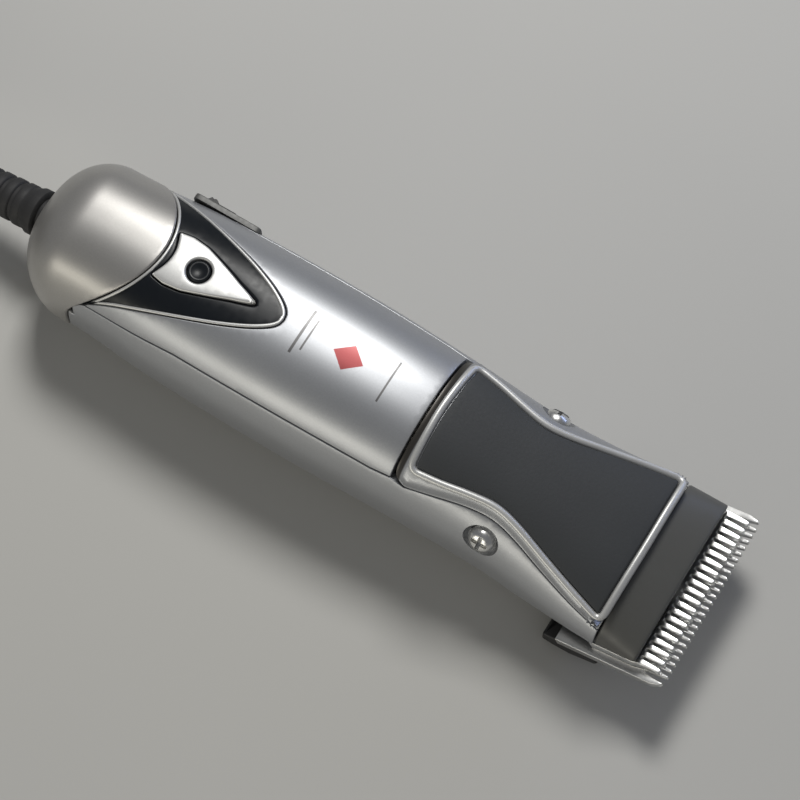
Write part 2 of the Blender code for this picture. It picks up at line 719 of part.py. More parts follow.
def wheel(outline, hole, x0, x1, z):
    """A toothed wheel, bored when hole is a radius, its axis along the handle at height z."""
    outlines = [outline, circle((0, 0), hole, 20)] if hole else [outline]
    mesh = plate(outlines, x0, x1, ALONG_X)
    mesh.transform(Matrix.Translation((0, 0, z)))
    return mesh


def sleeve(outer, inner, x0, x1, z, steps=28):
    """A plain ring along the handle."""
    return turned([(outer, x1), (outer, x0), (inner, x0), (inner, x1)], (0, 0, z), (1, 0, 0),
                  steps, ring=True)


def add_motor():
    """A direct-current motor that lies along the handle, with its fan behind it."""
    axis = (0.080, 0, MOTOR_Z)
    can = [(0.0135, 0.0575), (0.0123, 0.0575), (0.0123, 0.0968), (0.0042, 0.0968),
           (0.0042, 0.0980), (0.0135, 0.0980)]
    add_part("motor_can", turned(can, (0, 0, MOTOR_Z), (1, 0, 0), 32, ring=True), DARK_STEEL)
    add_part("motor_end_cap", sleeve(0.0132, 0.0020, 0.0545, 0.0572, MOTOR_Z), WHITE_NYLON)
    for side, name in ((1, "upper"), (-1, "lower")):
        turns = [math.radians(30 + 10 * i) for i in range(13)]
        arc = [(0.0119 * math.cos(a), side * 0.0119 * math.sin(a)) for a in turns]
        arc += [(0.0098 * math.cos(a), side * 0.0098 * math.sin(a)) for a in reversed(turns)]
        magnet = plate([arc], 0.0640, 0.0920, ALONG_X)
        magnet.transform(Matrix.Translation((0, 0, MOTOR_Z)))
        add_part(f"{name}_magnet", magnet, FERRITE)
        block = box((0.0603, side * 0.0067 - 0.0020, MOTOR_Z - 0.0015),
                    (0.0633, side * 0.0067 + 0.0020, MOTOR_Z + 0.0015))
        add_part(f"{'far' if side > 0 else 'near'}_brush", block, FERRITE)
    add_part("front_bearing", sleeve(0.0039, 0.0020, 0.0962, 0.0992, MOTOR_Z, 20), BRASS)
    shaft = rod((0.0450, 0, MOTOR_Z), (0.1130, 0, MOTOR_Z), SHAFT_RADIUS, sides=20)
    add_part("motor_shaft", shaft, STEEL, axis)
    slots = gear_outline(5, 0.0092, 0.0052, 0.40, 0.30)
    bore = SHAFT_RADIUS + GAP
    add_part("armature_core", wheel(slots, bore, 0.0660, 0.0900, MOTOR_Z), COPPER, axis)
    add_part("commutator", sleeve(0.0043, bore, 0.0600, 0.0648, MOTOR_Z, 20), COPPER, axis)
    blades = gear_outline(9, 0.0088, 0.0042, 0.10, 0.16)
    add_part("cooling_fan", wheel(blades, bore, 0.0465, 0.0520, MOTOR_Z), WHITE_NYLON, axis)
    pitch_radius = GEAR_MODULE * PINION_TEETH / 2
    teeth = gear_outline(PINION_TEETH, pitch_radius + 0.0004, pitch_radius - 0.0009, 0.11, 0.20)
    add_part("motor_pinion", wheel(teeth, bore, 0.1070, 0.1125, MOTOR_Z), BRASS, axis)


def add_drive():
    """The reduction gear, its crank pin, and the lever that rocks the cutter."""
    axis = (0.110, 0, GEAR_Z)
    frame = [(-0.0130, 0.0052), (0.0130, 0.0052), (0.0130, 0.0280), (0.0060, 0.0360),
             (-0.0060, 0.0360), (-0.0130, 0.0280)]
    frame_holes = [circle((0, MOTOR_Z), 0.0046), circle((0, GEAR_Z), 0.0023)]
    add_part("gear_frame", plate([frame, *frame_holes], 0.1012, 0.1042, ALONG_X), WHITE_NYLON)
    axle = rod((0.1005, 0, GEAR_Z), (0.1115, 0, GEAR_Z), 0.0020, sides=20)
    add_part("gear_axle", axle, STEEL)
    pitch_radius = GEAR_MODULE * GEAR_TEETH / 2
    teeth = gear_outline(GEAR_TEETH, pitch_radius + 0.0004, pitch_radius - 0.0009, 0.11, 0.20,
                         math.pi / GEAR_TEETH)
    gear = wheel(teeth, None, 0.1072, 0.1132, GEAR_Z)
    gear = add_part("drive_gear", gear, WHITE_NYLON, axis)
    axle_bore = rod((0.1060, 0, GEAR_Z), (0.1118, 0, GEAR_Z), 0.0023, sides=20)
    cut(gear, cutter("axle_bore", axle_bore))
    pin = rod((0.1135, 0, GEAR_Z + CRANK_THROW), (0.1245, 0, GEAR_Z + CRANK_THROW), 0.0015,
              sides=20)
    add_part("crank_pin", pin, STEEL, axis)

    side_view = [(0.1165, 0.0268), (0.1280, 0.0268), (0.1310, 0.0250), (0.1395, 0.0250),
                 (0.1410, 0.0218), (0.1742, 0.0218), (0.1746, 0.0196), (0.1772, 0.0196),
                 (0.1776, 0.0246), (0.1540, 0.0246), (0.1525, 0.0290), (0.1310, 0.0290),
                 (0.1290, 0.0328), (0.1165, 0.0328)]
    lever = add_part("drive_lever", plate([side_view], -0.009, 0.009, ALONG_Y), WHITE_NYLON,
                     LEVER_PIVOT)
    half = [(0.1270, 0.0), (0.1270, 0.0045), (0.1160, 0.0045), (0.1160, 0.0066),
            (0.1290, 0.0066), (0.1330, 0.0042), (0.1440, 0.0042), (0.1480, 0.0052),
            (0.1520, 0.0042), (0.1700, 0.0022), (0.1740, 0.0015), (0.1790, 0.0015),
            (0.1790, 0.0)]
    plan = plate([mirrored(half)], 0.015, 0.040)
    cut(lever, cutter("lever_plan", plan), "INTERSECT")
    bore = rod((LEVER_PIVOT.x, 0, 0.010), (LEVER_PIVOT.x, 0, 0.040), 0.0023, sides=20)
    cut(lever, cutter("lever_bore", bore))
    bracket = add_part(
        "lever_bracket", box((0.1300, -0.0100, 0.0086), (0.1535, 0.0100, 0.0205)), WHITE_NYLON
    )
    post = rod((LEVER_PIVOT.x, 0, 0.0150), (LEVER_PIVOT.x, 0, 0.0300), 0.0020, sides=20)
    cut(bracket, cutter("lever_post", post), "UNION")


# ---------------------------------------------------------------- electrics
def add_electrics():
    """The board near the tail, the parts on it, and the leads to it and to the motor."""
    add_part("circuit_board", box((0.0160, -0.0105, 0.0060), (0.0430, 0.0105, 0.0076)),
             GREEN_BOARD)
    add_part("film_capacitor", box((0.0200, -0.0090, 0.0079), (0.0320, -0.0030, 0.0165)),
             ORANGE_FILM)
    y = 0.0128
    points = [(0.0390, 0.0080, 0.0087), (0.0395, 0.0086, 0.0100), (0.0410, 0.0105, 0.0120),
              (0.0435, y, 0.0140), (0.0465, y, 0.0155), (0.0500, y, 0.0162),
              (0.0525, 0.0118, 0.0165), (0.0540, 0.0105, 0.0165)]
    add_part("motor_lead", tube(points, 0.0007), BRASS)


# ---------------------------------------------------------------- fasteners
def add_screws():
    """Two crosshead screws beside the waist, in dished seats, and two under the handle."""
    lower = bpy.data.objects["lower_casing"]
    for side, name in ((1, "far"), (-1, "near")):
        place = Vector((SCREW_X, side * 0.0176, 0.0276))
        out = Vector((0, side * math.cos(SCREW_LEAN), math.sin(SCREW_LEAN)))
        seat = rod(place - out * 0.0012, place + out * 0.010, 0.0039, end_radius=0.0048)
        cut(lower, cutter(f"side_screw_seat_{name}", seat))
        hole = rod(place - out * 0.010, place, 0.0017, sides=16)
        cut(lower, cutter(f"side_screw_hole_{name}", hole))
        profile = [(0, 0.0021), (0.0018, 0.0019), (0.0030, 0.0012), (0.0034, 0.0004),
                   (0.0034, -0.0008), (0.0013, -0.0008), (0.0013, -0.0070), (0, -0.0070)]
        add_part(f"side_screw_{name}", turned(profile, place, out, 20), STEEL)
    for i, (x, y) in enumerate(((0.0260, 0.0), (0.1160, 0.0))):
        seat = rod((x, y, -0.01), (x, y, 0.0012), 0.0032, sides=20)
        hole = rod((x, y, 0.0), (x, y, 0.010), 0.0017, sides=16)
        cut(lower, cutter(f"casing_screw_seat_{i + 1}", seat))
        cut(lower, cutter(f"casing_screw_hole_{i + 1}", hole))
        profile = [(0, 0.0055), (0.0013, 0.0055), (0.0013, 0.0009), (0.0028, 0.0009),
                   (0.0028, 0.0002), (0, 0.0002)]
        add_part(f"casing_screw_{i + 1}", turned(profile, (x, y, 0), (0, 0, 1), 16),
                 DARK_STEEL)


# ---------------------------------------------------------------- cord
def smooth_route(route, spacing):
    """Points every spacing along a Catmull-Rom curve through the route's own points."""
    points = [Vector(p) for p in route]
    points = [2 * points[0] - points[1], *points, 2 * points[-1] - points[-2]]
    fine = []
    for a, b, c, d in zip(points, points[1:], points[2:], points[3:]):
        for i in range(12):
            t = i / 12
            fine.append(0.5 * (2 * b + (c - a) * t + (2 * a - 5 * b + 4 * c - d) * t**2
                               + (3 * b - a - 3 * c + d) * t**3))
    fine.append(points[-2])
    kept = [fine[0]]
    for point in fine[1:]:
        if (point - kept[-1]).length >= spacing:
            kept.append(point)
    kept[-1] = fine[-1]
    return kept


def stadium(radius, steps=12):
    """The hank's long round-ended loop, seen from above."""
    ends = []
    for x, first in ((HANK_START.x, -90), (HANK_START.x - HANK_STRAIGHT, 90)):
        for i in range(steps + 1):
            turn = math.radians(first + 180 * i / steps)
            ends.append((x + radius * math.cos(turn), HANK_START.y + radius * math.sin(turn)))
    return ends


def swerve(start, end, steps=6):
    """Points of two equal bends that carry the cord sideways from start to end."""
    ahead, aside = start.x - end.x, end.y - start.y
    radius = (ahead**2 + aside**2) / (4 * aside)
    sweep = math.asin(ahead / (2 * radius))
    points = []
    for i in range(1, 2 * steps + 1):
        turn = sweep * min(i, 2 * steps - i) / steps
        forward, across = radius * math.sin(turn), radius * (1 - math.cos(turn))
        if i > steps:
            forward, across = ahead - forward, aside - across
        share = forward / ahead
        drop = share * share * (3 - 2 * share)
        points.append((start.x - forward, start.y + across, start.z + (end.z - start.z) * drop))
    return points


def add_cord():
    """Strain relief, the free stretch, the hank of the stored length, its tie and the plug."""
    relief = [(0, 0.0090), (0.0046, 0.0090), (0.0046, -0.0018), (0.0062, -0.0020),
              (0.0062, -0.0048), (0.0057, -0.0058), (0.0056, -0.0300), (0.0050, -0.0400),
              (0.0043, -RELIEF_LENGTH), (0, -RELIEF_LENGTH)]
    mouth = Vector((0, 0, RELIEF_Z))
    add_part("strain_relief", turned(relief, mouth, -RELIEF_OUT, 24), BLACK_RUBBER)

    width = 2 * CORD_RADIUS
    outer = HANK_INNER_BEND + (HANK_COLUMNS - 1) * width + CORD_RADIUS
    inner = HANK_INNER_BEND - CORD_RADIUS
    low = TIE_THICK + 2 * GAP
    high = low + HANK_LAYERS * width
    start = mouth + RELIEF_OUT * (RELIEF_LENGTH + GAP)
    straight = start + RELIEF_OUT * 0.006
    join = HANK_START + Vector((0, outer - CORD_RADIUS, low + CORD_RADIUS))
    lead = [start, straight]
    for point in swerve(straight, join):
        away = (Vector(point[:2]) - HANK_START.xy).length
        if away > outer + CORD_RADIUS + 3 * GAP:
            lead.append(point)
    add_part("cord_lead", tube(smooth_route(lead, 0.006), CORD_RADIUS), BLACK_RUBBER)
    hank = plate([stadium(outer), stadium(inner)], low, high)
    add_part("cord_coil", hank, BLACK_RUBBER)
    add_plug(high + GAP + CORD_RADIUS)

    hole = inner - 3 * GAP

    def loop(outset_by):
        right, left = outer + GAP + outset_by, hole - outset_by
        top_side, bottom = high + GAP + outset_by, low - GAP - outset_by
        return [(right, top_side), (right, bottom), (left, bottom), (left, top_side)]

    tie = plate([loop(TIE_THICK), loop(0)], -0.0035, 0.0035, ALONG_X)
    tie.transform(Matrix.Translation(HANK_START - Vector((TIE_BACK, 0, 0))))
    add_part("cord_tie", tie, BLACK_MATT)


def add_plug(top):
    """A flat two-pin mains plug that lies on the hank at the cord's end."""
    start = HANK_START - Vector((HANK_STRAIGHT, PLUG_BEND, -top))
    place = Matrix.Translation(start)
    half = [(0, 0.0034), (0.0080, 0.0040), (0.0150, 0.0120), (0.0200, 0.0137),
            (0.0330, 0.0128), (0.0345, 0.0110)]
    outline = [*half, *[(x, -y) for x, y in reversed(half)]]
    add_part("plug_body", plate([outline], -0.0032, 0.0060), BLACK_MATT, matrix=place)
    for offset, name in ((0.0093, "far"), (-0.0093, "near")):
        pin = rod((0.0348, offset, 0.0014), (0.0530, offset, 0.0014), 0.0020, sides=14)
        add_part(f"plug_pin_{name}", pin, STEEL, matrix=place)


# ---------------------------------------------------------------- build everything
add_covers()
add_blade_set()
add_hinge()
add_controls()
add_motor()
add_drive()
add_electrics()
add_screws()
add_cord()
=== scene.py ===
# %% [markdown]
# # A corded hair clipper, finished for looks
# The measured model comes first, as a fixed frame. Every piece made below takes its place from it
# and rides on one of its bodies, so the blade and the buttons can still move.
# Sizes are in metres, and lengths along the handle are counted from its tail, as a drawing would.

# %% Load the frame
import bisect
import json
import math

import bmesh
import bpy
import numpy as np
from mathutils import Matrix, Vector
from mathutils.geometry import delaunay_2d_cdt
from mathutils.kdtree import KDTree

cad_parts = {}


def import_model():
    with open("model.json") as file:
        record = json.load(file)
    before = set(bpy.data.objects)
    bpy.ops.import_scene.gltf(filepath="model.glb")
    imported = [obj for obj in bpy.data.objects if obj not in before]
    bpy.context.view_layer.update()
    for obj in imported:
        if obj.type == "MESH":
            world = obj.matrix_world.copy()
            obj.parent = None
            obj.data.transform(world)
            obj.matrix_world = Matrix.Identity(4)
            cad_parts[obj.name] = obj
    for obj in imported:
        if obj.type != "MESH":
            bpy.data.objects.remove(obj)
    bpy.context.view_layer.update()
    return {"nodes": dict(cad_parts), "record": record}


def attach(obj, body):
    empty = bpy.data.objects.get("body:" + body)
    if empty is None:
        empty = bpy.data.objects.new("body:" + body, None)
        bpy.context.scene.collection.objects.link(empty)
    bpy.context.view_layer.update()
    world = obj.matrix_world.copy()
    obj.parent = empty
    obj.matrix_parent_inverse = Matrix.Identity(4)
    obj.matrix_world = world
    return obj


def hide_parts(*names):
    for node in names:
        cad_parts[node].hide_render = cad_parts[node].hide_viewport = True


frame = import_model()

NODES = frame["nodes"]
TAIL = -0.0948


def world(point):
    """A point measured from the tail, moved into the frame."""
    return Vector((point[0] + TAIL, point[1], point[2]))


# %% [markdown]
# ## The camera
# The clipper is seen from high above and a little from its near side. A long lens stands well back,
# so the handle keeps nearly parallel sides. The camera is placed by two angles and a distance from
# the point it looks at, because that is easier to adjust than a position and a rotation.

# %% Camera
AZIMUTH, ELEVATION = math.radians(31.7), math.radians(69.5)
DISTANCE = 0.65
LENS = 120.5
SENSOR = 36.0
AIM = world((0.0997, 0.0042, 0.021))

back = Vector((
    math.sin(AZIMUTH) * math.cos(ELEVATION),
    -math.cos(AZIMUTH) * math.cos(ELEVATION),
    math.sin(ELEVATION),
))
lens = bpy.data.cameras.new("studio_camera")
lens.lens = LENS
lens.sensor_width = SENSOR
camera = bpy.data.objects.new("studio_camera", lens)
camera.location = AIM + back * DISTANCE
camera.rotation_euler = back.to_track_quat("Z", "Y").to_euler()
bpy.context.scene.collection.objects.link(camera)
bpy.context.scene.camera = camera
print("camera stands at", [round(value, 3) for value in camera.location])


# %% [markdown]
# ## Writing shader maths as Python
# A finish is a small program of nodes. Wiring it by hand hides the idea, so one class wraps a
# socket and lets plain arithmetic add the Math nodes: `1 - mask` or `a * 0.3 + b`. Colours go
# through Mix nodes, because a Math node would turn them grey.

# %% Shader arithmetic
def feed(tree, socket, value):
    """Put a number, a colour or another node's output into a socket."""
    if isinstance(value, Wire):
        tree.links.new(value.socket, socket)
    elif isinstance(value, (tuple, list, Vector)) and socket.type == "RGBA":
        socket.default_value = (*value[:3], 1)
    else:
        socket.default_value = value


class Wire:
    """A value on its way through a finish's nodes."""

    def __init__(self, tree, socket):
        self.tree, self.socket = tree, socket

    def maths(self, operation, *values, clamp=False):
        node = self.tree.nodes.new("ShaderNodeMath")
        node.operation = operation
        node.use_clamp = clamp
        for socket, value in zip(node.inputs, values):
            feed(self.tree, socket, value)
        return Wire(self.tree, node.outputs[0])

    def __add__(self, other):
        return self.maths("ADD", self, other)

    def __sub__(self, other):
        return self.maths("SUBTRACT", self, other)

    def __rsub__(self, other):
        return self.maths("SUBTRACT", other, self)

    def __mul__(self, other):
        return self.maths("MULTIPLY", self, other)

    def __truediv__(self, other):
        return self.maths("DIVIDE", self, other)

    __radd__ = __add__
    __rmul__ = __mul__

    def size(self):
        return self.maths("ABSOLUTE", self)

    def below(self, edge, blur):
        """1 where this is under edge, fading to 0 over blur."""
        return self.maths("DIVIDE", edge - self, blur, clamp=True)

    def above(self, edge, blur):
        return self.maths("DIVIDE", self - edge, blur, clamp=True)


# %% [markdown]
# ## A finish
# Each finish starts from one Principled shader. What is the same all over goes straight on its
# sockets; what changes over the surface is built from object-space noise, so it needs no unwrapping.

# %% Finish class
class Finish:
    """One procedural material, with the few node groups that this object's finishes share."""

    def __init__(self, name, roughness=0.5, metallic=0.0, **fixed):
        self.material = bpy.data.materials.new(name)
        self.material.use_nodes = True
        self.tree = self.material.node_tree
        self.shader = self.tree.nodes["Principled BSDF"]
        self.shader.inputs["Roughness"].default_value = roughness
        self.shader.inputs["Metallic"].default_value = metallic
        for socket, value in fixed.items():
            self.shader.inputs[socket.replace("_", " ")].default_value = value
        self.place = self.node("ShaderNodeTexCoord", output="Object")

    def node(self, kind, settings=None, values=None, output=0):
        """Any node: its settings first, then the values or links of its sockets."""
        node = self.tree.nodes.new(kind)
        for setting, value in (settings or {}).items():
            setattr(node, setting, value)
        for socket, value in (values or {}).items():
            feed(self.tree, node.inputs[socket], value)
        return Wire(self.tree, node.outputs[output])

    def stretched(self, scale):
        """Object coordinates, longer or shorter along each axis."""
        settings = {"operation": "MULTIPLY"}
        return self.node("ShaderNodeVectorMath", settings, {0: self.place, 1: scale})

    def noise(self, scale, detail=3.0, stretch=(1, 1, 1), roughness=0.5):
        values = {"Vector": self.stretched(stretch), "Scale": scale, "Detail": detail,
                  "Roughness": roughness}
        return self.node("ShaderNodeTexNoise", None, values)

    def along(self, axis):
        return self.node("ShaderNodeSeparateXYZ", None, {0: self.place}, axis)

    def mix(self, share, first, second):
        """A colour between two colours."""
        return self.node("ShaderNodeMix", {"data_type": "RGBA"}, {0: share, 6: first, 7: second}, 2)

    def set(self, colour=None, roughness=None, height=None, depth=0.0001):
        """Link what varies: the colour, the roughness and a fine relief."""
        if colour is not None:
            feed(self.tree, self.shader.inputs["Base Color"], colour)
        if roughness is not None:
            feed(self.tree, self.shader.inputs["Roughness"], roughness)
        if height is not None:
            bump = self.node("ShaderNodeBump", None,
                             {"Height": height, "Distance": depth, "Strength": 1.0}, "Normal")
            feed(self.tree, self.shader.inputs["Normal"], bump)
        return self.material


def shade(colour, factor):
    return tuple(value * factor for value in colour)


# %% [markdown]
# ## The finishes
# Most surfaces are moulded or stamped, so one recipe serves them: two close colours mixed by a slow
# noise, a roughness that wanders a little, and a fine relief. The silver paint adds metal flake and
# the ground steel adds long scratches across the teeth.

# %% Plain finishes
def moulded(name, colour, roughness, grain=900, depth=0.00002, spread=0.12, metallic=0.0, **fixed):
    """A moulding: a cloudy tint, a fine grain and a little unevenness in its gloss."""
    finish = Finish(name, roughness, metallic, **fixed)
    cloud = finish.noise(45, 4)
    fine = finish.noise(grain, 2)
    tint = finish.mix(cloud, shade(colour, 1 - spread), shade(colour, 1 + spread))
    return finish.set(tint, fine * 0.16 + (roughness - 0.08), fine, depth)


def flaked(name, colour, roughness, metallic, print_and_shade_hook=None):
    """Metallic paint: tiny flakes that catch the light, under a thin clear coat."""
    finish = Finish(name, roughness, metallic, Coat_Weight=0.2, Coat_Roughness=0.2)
    flake = finish.noise(2600, 2)
    cloud = finish.noise(30, 3)
    tint = finish.mix(flake, shade(colour, 0.90), shade(colour, 1.12))
    tint = finish.mix(cloud * 0.25, tint, shade(colour, 0.86))
    # An optional hook paints print on the lid and painted shade on the hood's rear slope.
    if print_and_shade_hook:
        tint = print_and_shade_hook(finish, tint)
    return finish.set(tint, cloud * 0.10 + (roughness - 0.05), flake, 0.000004)


def ground(name, colour, roughness, stretch):
    """Steel ground in one direction, with long fine scratches."""
    finish = Finish(name, roughness, 1.0)
    lines = finish.noise(900, 4, stretch, 0.7)
    cloud = finish.noise(60, 3)
    tint = finish.mix(lines, shade(colour, 0.86), shade(colour, 1.10))
    return finish.set(tint, lines * 0.22 + cloud * 0.08 + (roughness - 0.14), lines, 0.000012)


# %% [markdown]
# ## The print on the shell, and painted shade on the hood
# The lid of the shell carries a small print. It could be a picture wrapped round the lid, but a few
# sums on the place of each point draw plain shapes that stay sharp at any distance. The rear slope
# of the hood gets painted shade in the same way: a dark band that stands in for the shadow and the
# dark reflection in the step.

# %% Print and painted shade on the hood's slope
PRINT_HEIGHT = 0.038
PRINT_BARS = ((0.0752, 0.0004, 0.0062), (0.0772, 0.0003, 0.0044), (0.0992, 0.0003, 0.0058))
# The dark colour inks the print's bars and also paints the shade on the hood's rear slope.
PRINT_INK_AND_PAINTED_SHADE, PRINT_RED = (0.06, 0.055, 0.05), (0.22, 0.008, 0.008)
LOZENGE_PLACE, LOZENGE_SIZE = 0.0880, (0.0042, 0.0036)
# The painted shade on the hood's rear slope lies behind the first place along the handle and above
# the second height.
STEP_SHADE_END, STEP_SHADE_FLOOR = 0.1128, 0.030


def plain_print(finish, tint):
    """A small red lozenge between plain dark bars, printed on the top of the shell."""
    along, across, height = (finish.along(axis) for axis in range(3))
    blur = 0.0001
    on_top = height.above(PRINT_HEIGHT, 0.001)
    for place, half_wide, half_long in PRINT_BARS:
        bar = (along - (place + TAIL)).size().below(half_wide, blur)
        bar = bar * across.size().below(half_long, blur) * on_top
        tint = finish.mix(bar * 0.8, tint, PRINT_INK_AND_PAINTED_SHADE)
    reach, half = LOZENGE_SIZE
    slant = (along - (LOZENGE_PLACE + TAIL)).size() / reach + across.size() / half
    return finish.mix(slant.below(1, 0.04) * on_top * 0.9, tint, PRINT_RED)


def painted_step_shade(finish, tint):
    """Painted shade and a painted dark reflection on the rear slope of the hood's step."""
    slope = finish.along(0).below(STEP_SHADE_END + TAIL, 0.0004)
    return finish.mix(slope * finish.along(2).above(STEP_SHADE_FLOOR, 0.002), tint, PRINT_INK_AND_PAINTED_SHADE)


# %% [markdown]
# ## One finish for each slot
# The record names a slot for every piece. Each slot gets its colour and gloss here, in one table, so
# that the whole set can be compared and adjusted side by side.

# %% All finishes
SILVER = (0.41, 0.42, 0.44)
FINISHES = {
    "tail_silver": flaked("tail_silver", (0.42, 0.41, 0.395), 0.40, 0.74),
    "silver_shell": flaked("silver_shell", SILVER, 0.43, 0.74),
    "nose_grey": moulded("nose_grey", (0.085, 0.085, 0.080), 0.42),
    "gloss_black": moulded("gloss_black", (0.007, 0.009, 0.012), 0.34, 700, 0.000004,
                           Specular_IOR_Level=0.25),
    "bright_silver": flaked("bright_silver", (0.62, 0.62, 0.61), 0.42, 0.55),
    "soft_panel": moulded("soft_panel", (0.036, 0.039, 0.042), 0.66, 1400, 0.00003),
    "ground_steel": ground("ground_steel", (0.80, 0.80, 0.79), 0.30, (1, 0.06, 1)),
    "dark_steel": ground("dark_steel", (0.27, 0.27, 0.28), 0.40, (1, 0.2, 1)),
    "black_plastic": moulded("black_plastic", (0.018, 0.018, 0.019), 0.50),
    "white_nylon": moulded("white_nylon", (0.74, 0.73, 0.68), 0.48),
    "ferrite": moulded("ferrite", (0.06, 0.06, 0.065), 0.80, 500, 0.00004),
    "bronze": ground("bronze", (0.62, 0.42, 0.18), 0.30, (0.2, 1, 1)),
    "copper": ground("copper", (0.72, 0.35, 0.20), 0.34, (0.1, 1, 1)),
    "green_board": moulded("green_board", (0.05, 0.22, 0.08), 0.42),
    "orange_film": moulded("orange_film", (0.70, 0.25, 0.05), 0.30),
    "lead_insulation": moulded("lead_insulation", (0.45, 0.04, 0.03), 0.50),
    "black_rubber": moulded("black_rubber", (0.020, 0.020, 0.021), 0.66, 1200, 0.00003),
}
print("finishes:", len(FINISHES))


# %% [markdown]
# ## Dress the inner pieces
# The motor, gears, springs and board keep the shapes they have in the frame, which are right, and
# only get their finish. The record says which slot each one takes.

# %% Inner pieces
SLOTS = {part["node"]: part["material_slot"] for part in frame["record"]["subparts"]}
for name, node in NODES.items():
    node.data.materials.clear()
    node.data.materials.append(FINISHES[SLOTS[name]])
print("slots used:", len(set(SLOTS.values())))


# %% [markdown]
# ## Bringing a piece in
# Every new piece goes through one function: it links the mesh, names the finish, rides on its body
# and hides the frame node that it stands for.

# %% Piece helper
def piece(name, mesh, slot, body, *nodes, sharp=40, smooth=True, finish=None):
    """A finished piece in the frame."""
    mesh.name = name
    mesh.materials.clear()
    mesh.materials.append(finish or FINISHES[slot])
    if smooth:
        mesh.shade_smooth()
        mesh.set_sharp_from_angle(angle=math.radians(sharp))
    made = bpy.data.objects.new(name, mesh)
    bpy.context.scene.collection.objects.link(made)
    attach(made, body)
    if nodes:
        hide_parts(*nodes)
    return made


def bevel(made, width, segments=3, angle=35):
    change = made.modifiers.new("rounded_edges", "BEVEL")
    change.width = width
    change.segments = segments
    change.limit_method = "ANGLE"
    change.angle_limit = math.radians(angle)
    change.harden_normals = False
    return made


# %% [markdown]
# ## The form of the handle
# Three short tables say how wide the handle is, and how high its top and underside run. A smooth
# curve goes through each, and every cross-section is a superellipse: rounder than a box, fuller
# than an ellipse. The tail closes like the end of an egg.

# %% Form of the handle
WALL = 0.0022
GAP = 0.0003
SECTION_POWER = 2.4
HALF_WIDTHS = [(0, 0.0193), (0.022, 0.0197), (0.042, 0.0212), (0.080, 0.0218), (0.110, 0.0210),
               (0.135, 0.0204), (0.150, 0.0214), (0.165, 0.0228), (0.184, 0.0235)]
TOPS = [(0, 0.0400), (0.022, 0.0415), (0.042, 0.0425), (0.080, 0.0428), (0.110, 0.0415),
        (0.135, 0.0370), (0.150, 0.0340), (0.165, 0.0306), (0.184, 0.0250)]
UNDERSIDES = [(0, 0.0006), (0.022, -0.0008), (0.042, -0.0012), (0.140, -0.0012), (0.150, 0.0002),
              (0.165, 0.0060), (0.184, 0.0130)]
TAIL_ROUND = 0.014
TAIL_BLUNT = 0.2
TAIL_SPAN = 0.0155
ROUND = 0.021
TOP, BOTTOM = math.pi / 2, -math.pi / 2


def smooth(table, x):
    """A smooth value at x through a table's (place, value) pairs."""
    places = [place for place, _ in table]
    i = min(max(bisect.bisect_right(places, x) - 1, 0), len(table) - 2)
    (x0, y0), (x1, y1) = table[i], table[i + 1]

    def slope(k):
        low, high = max(k - 1, 0), min(k + 1, len(table) - 1)
        return (table[high][1] - table[low][1]) / (table[high][0] - table[low][0])

    t = min(max((x - x0) / (x1 - x0), 0), 1)
    span = x1 - x0
    start = (2 * t**3 - 3 * t**2 + 1) * y0 + (t**3 - 2 * t**2 + t) * span * slope(i)
    return start + (3 * t**2 - 2 * t**3) * y1 + (t**3 - t**2) * span * slope(i + 1)


def section(x):
    """Half width, middle height and half height of the handle at x."""
    low, high = smooth(UNDERSIDES, x), smooth(TOPS, x)
    return smooth(HALF_WIDTHS, x), (low + high) / 2, (high - low) / 2


def signed_power(value, power):
    return math.copysign(abs(value) ** power, value)


def on_form(u, turn, grow):
    """A point of the handle's surface: u runs along it and turn runs round it."""
    lean = math.pi / 2 if u >= TAIL_ROUND else max(math.pi / 2 - (TAIL_ROUND - u) / TAIL_SPAN, 0)
    x = u if u >= TAIL_ROUND else TAIL_ROUND * (1 - math.cos(lean)) - grow * math.cos(lean)
    fullness = TAIL_BLUNT + (1 - TAIL_BLUNT) * math.sin(lean)
    width, middle, half = section(max(x, 0))
    y = (width * fullness + grow) * signed_power(math.cos(turn), 2 / SECTION_POWER)
    z = middle + (half * fullness + grow) * signed_power(math.sin(turn), 2 / SECTION_POWER)
    return world((x, y, max(z, -grow)))


def up(x, y):
    """(u, turn) of the point above a place in the plan."""
    share = min(abs(y) / section(x)[0], 1)
    return x, math.acos(signed_power(math.copysign(share, y), SECTION_POWER / 2))


def side(x, z):
    """(u, turn) of the point at a height on the far side."""
    _, middle, half = section(x)
    share = max(min((z - middle) / half, 1), -1)
    return x, math.asin(signed_power(share, SECTION_POWER / 2))


print("widest half:", max(width for _, width in HALF_WIDTHS))


# %% [markdown]
# ## Covers cut from one form
# The real covers are separate mouldings that share one outer shape. Unrolling that shape gives a
# flat sheet: each cover is an outline on the sheet, filled with small triangles and rolled back.
# Its edge is lowered along a few close rings, which makes a true rounded edge for the light to run
# on. A Boolean cut would be shorter to write, but it leaves a hard edge and long thin faces.

# %% Outline helpers
def outset(loop, distance):
    """A closed loop moved outwards all round, or inwards for a negative distance."""
    points = np.array(loop)
    before, after = np.roll(points, 1, 0), np.roll(points, -1, 0)
    area = np.sum(points[:, 0] * after[:, 1] - after[:, 0] * points[:, 1])

    def outward(step):
        normal = np.stack([step[:, 1], -step[:, 0]], 1) * np.sign(area)
        return normal / np.maximum(np.linalg.norm(normal, axis=1), 1e-12)[:, None]

    first, second = outward(points - before), outward(after - points)
    lean = np.maximum(1 + np.sum(first * second, 1), 0.4)[:, None]
    return [tuple(p) for p in points + (first + second) / lean * distance]


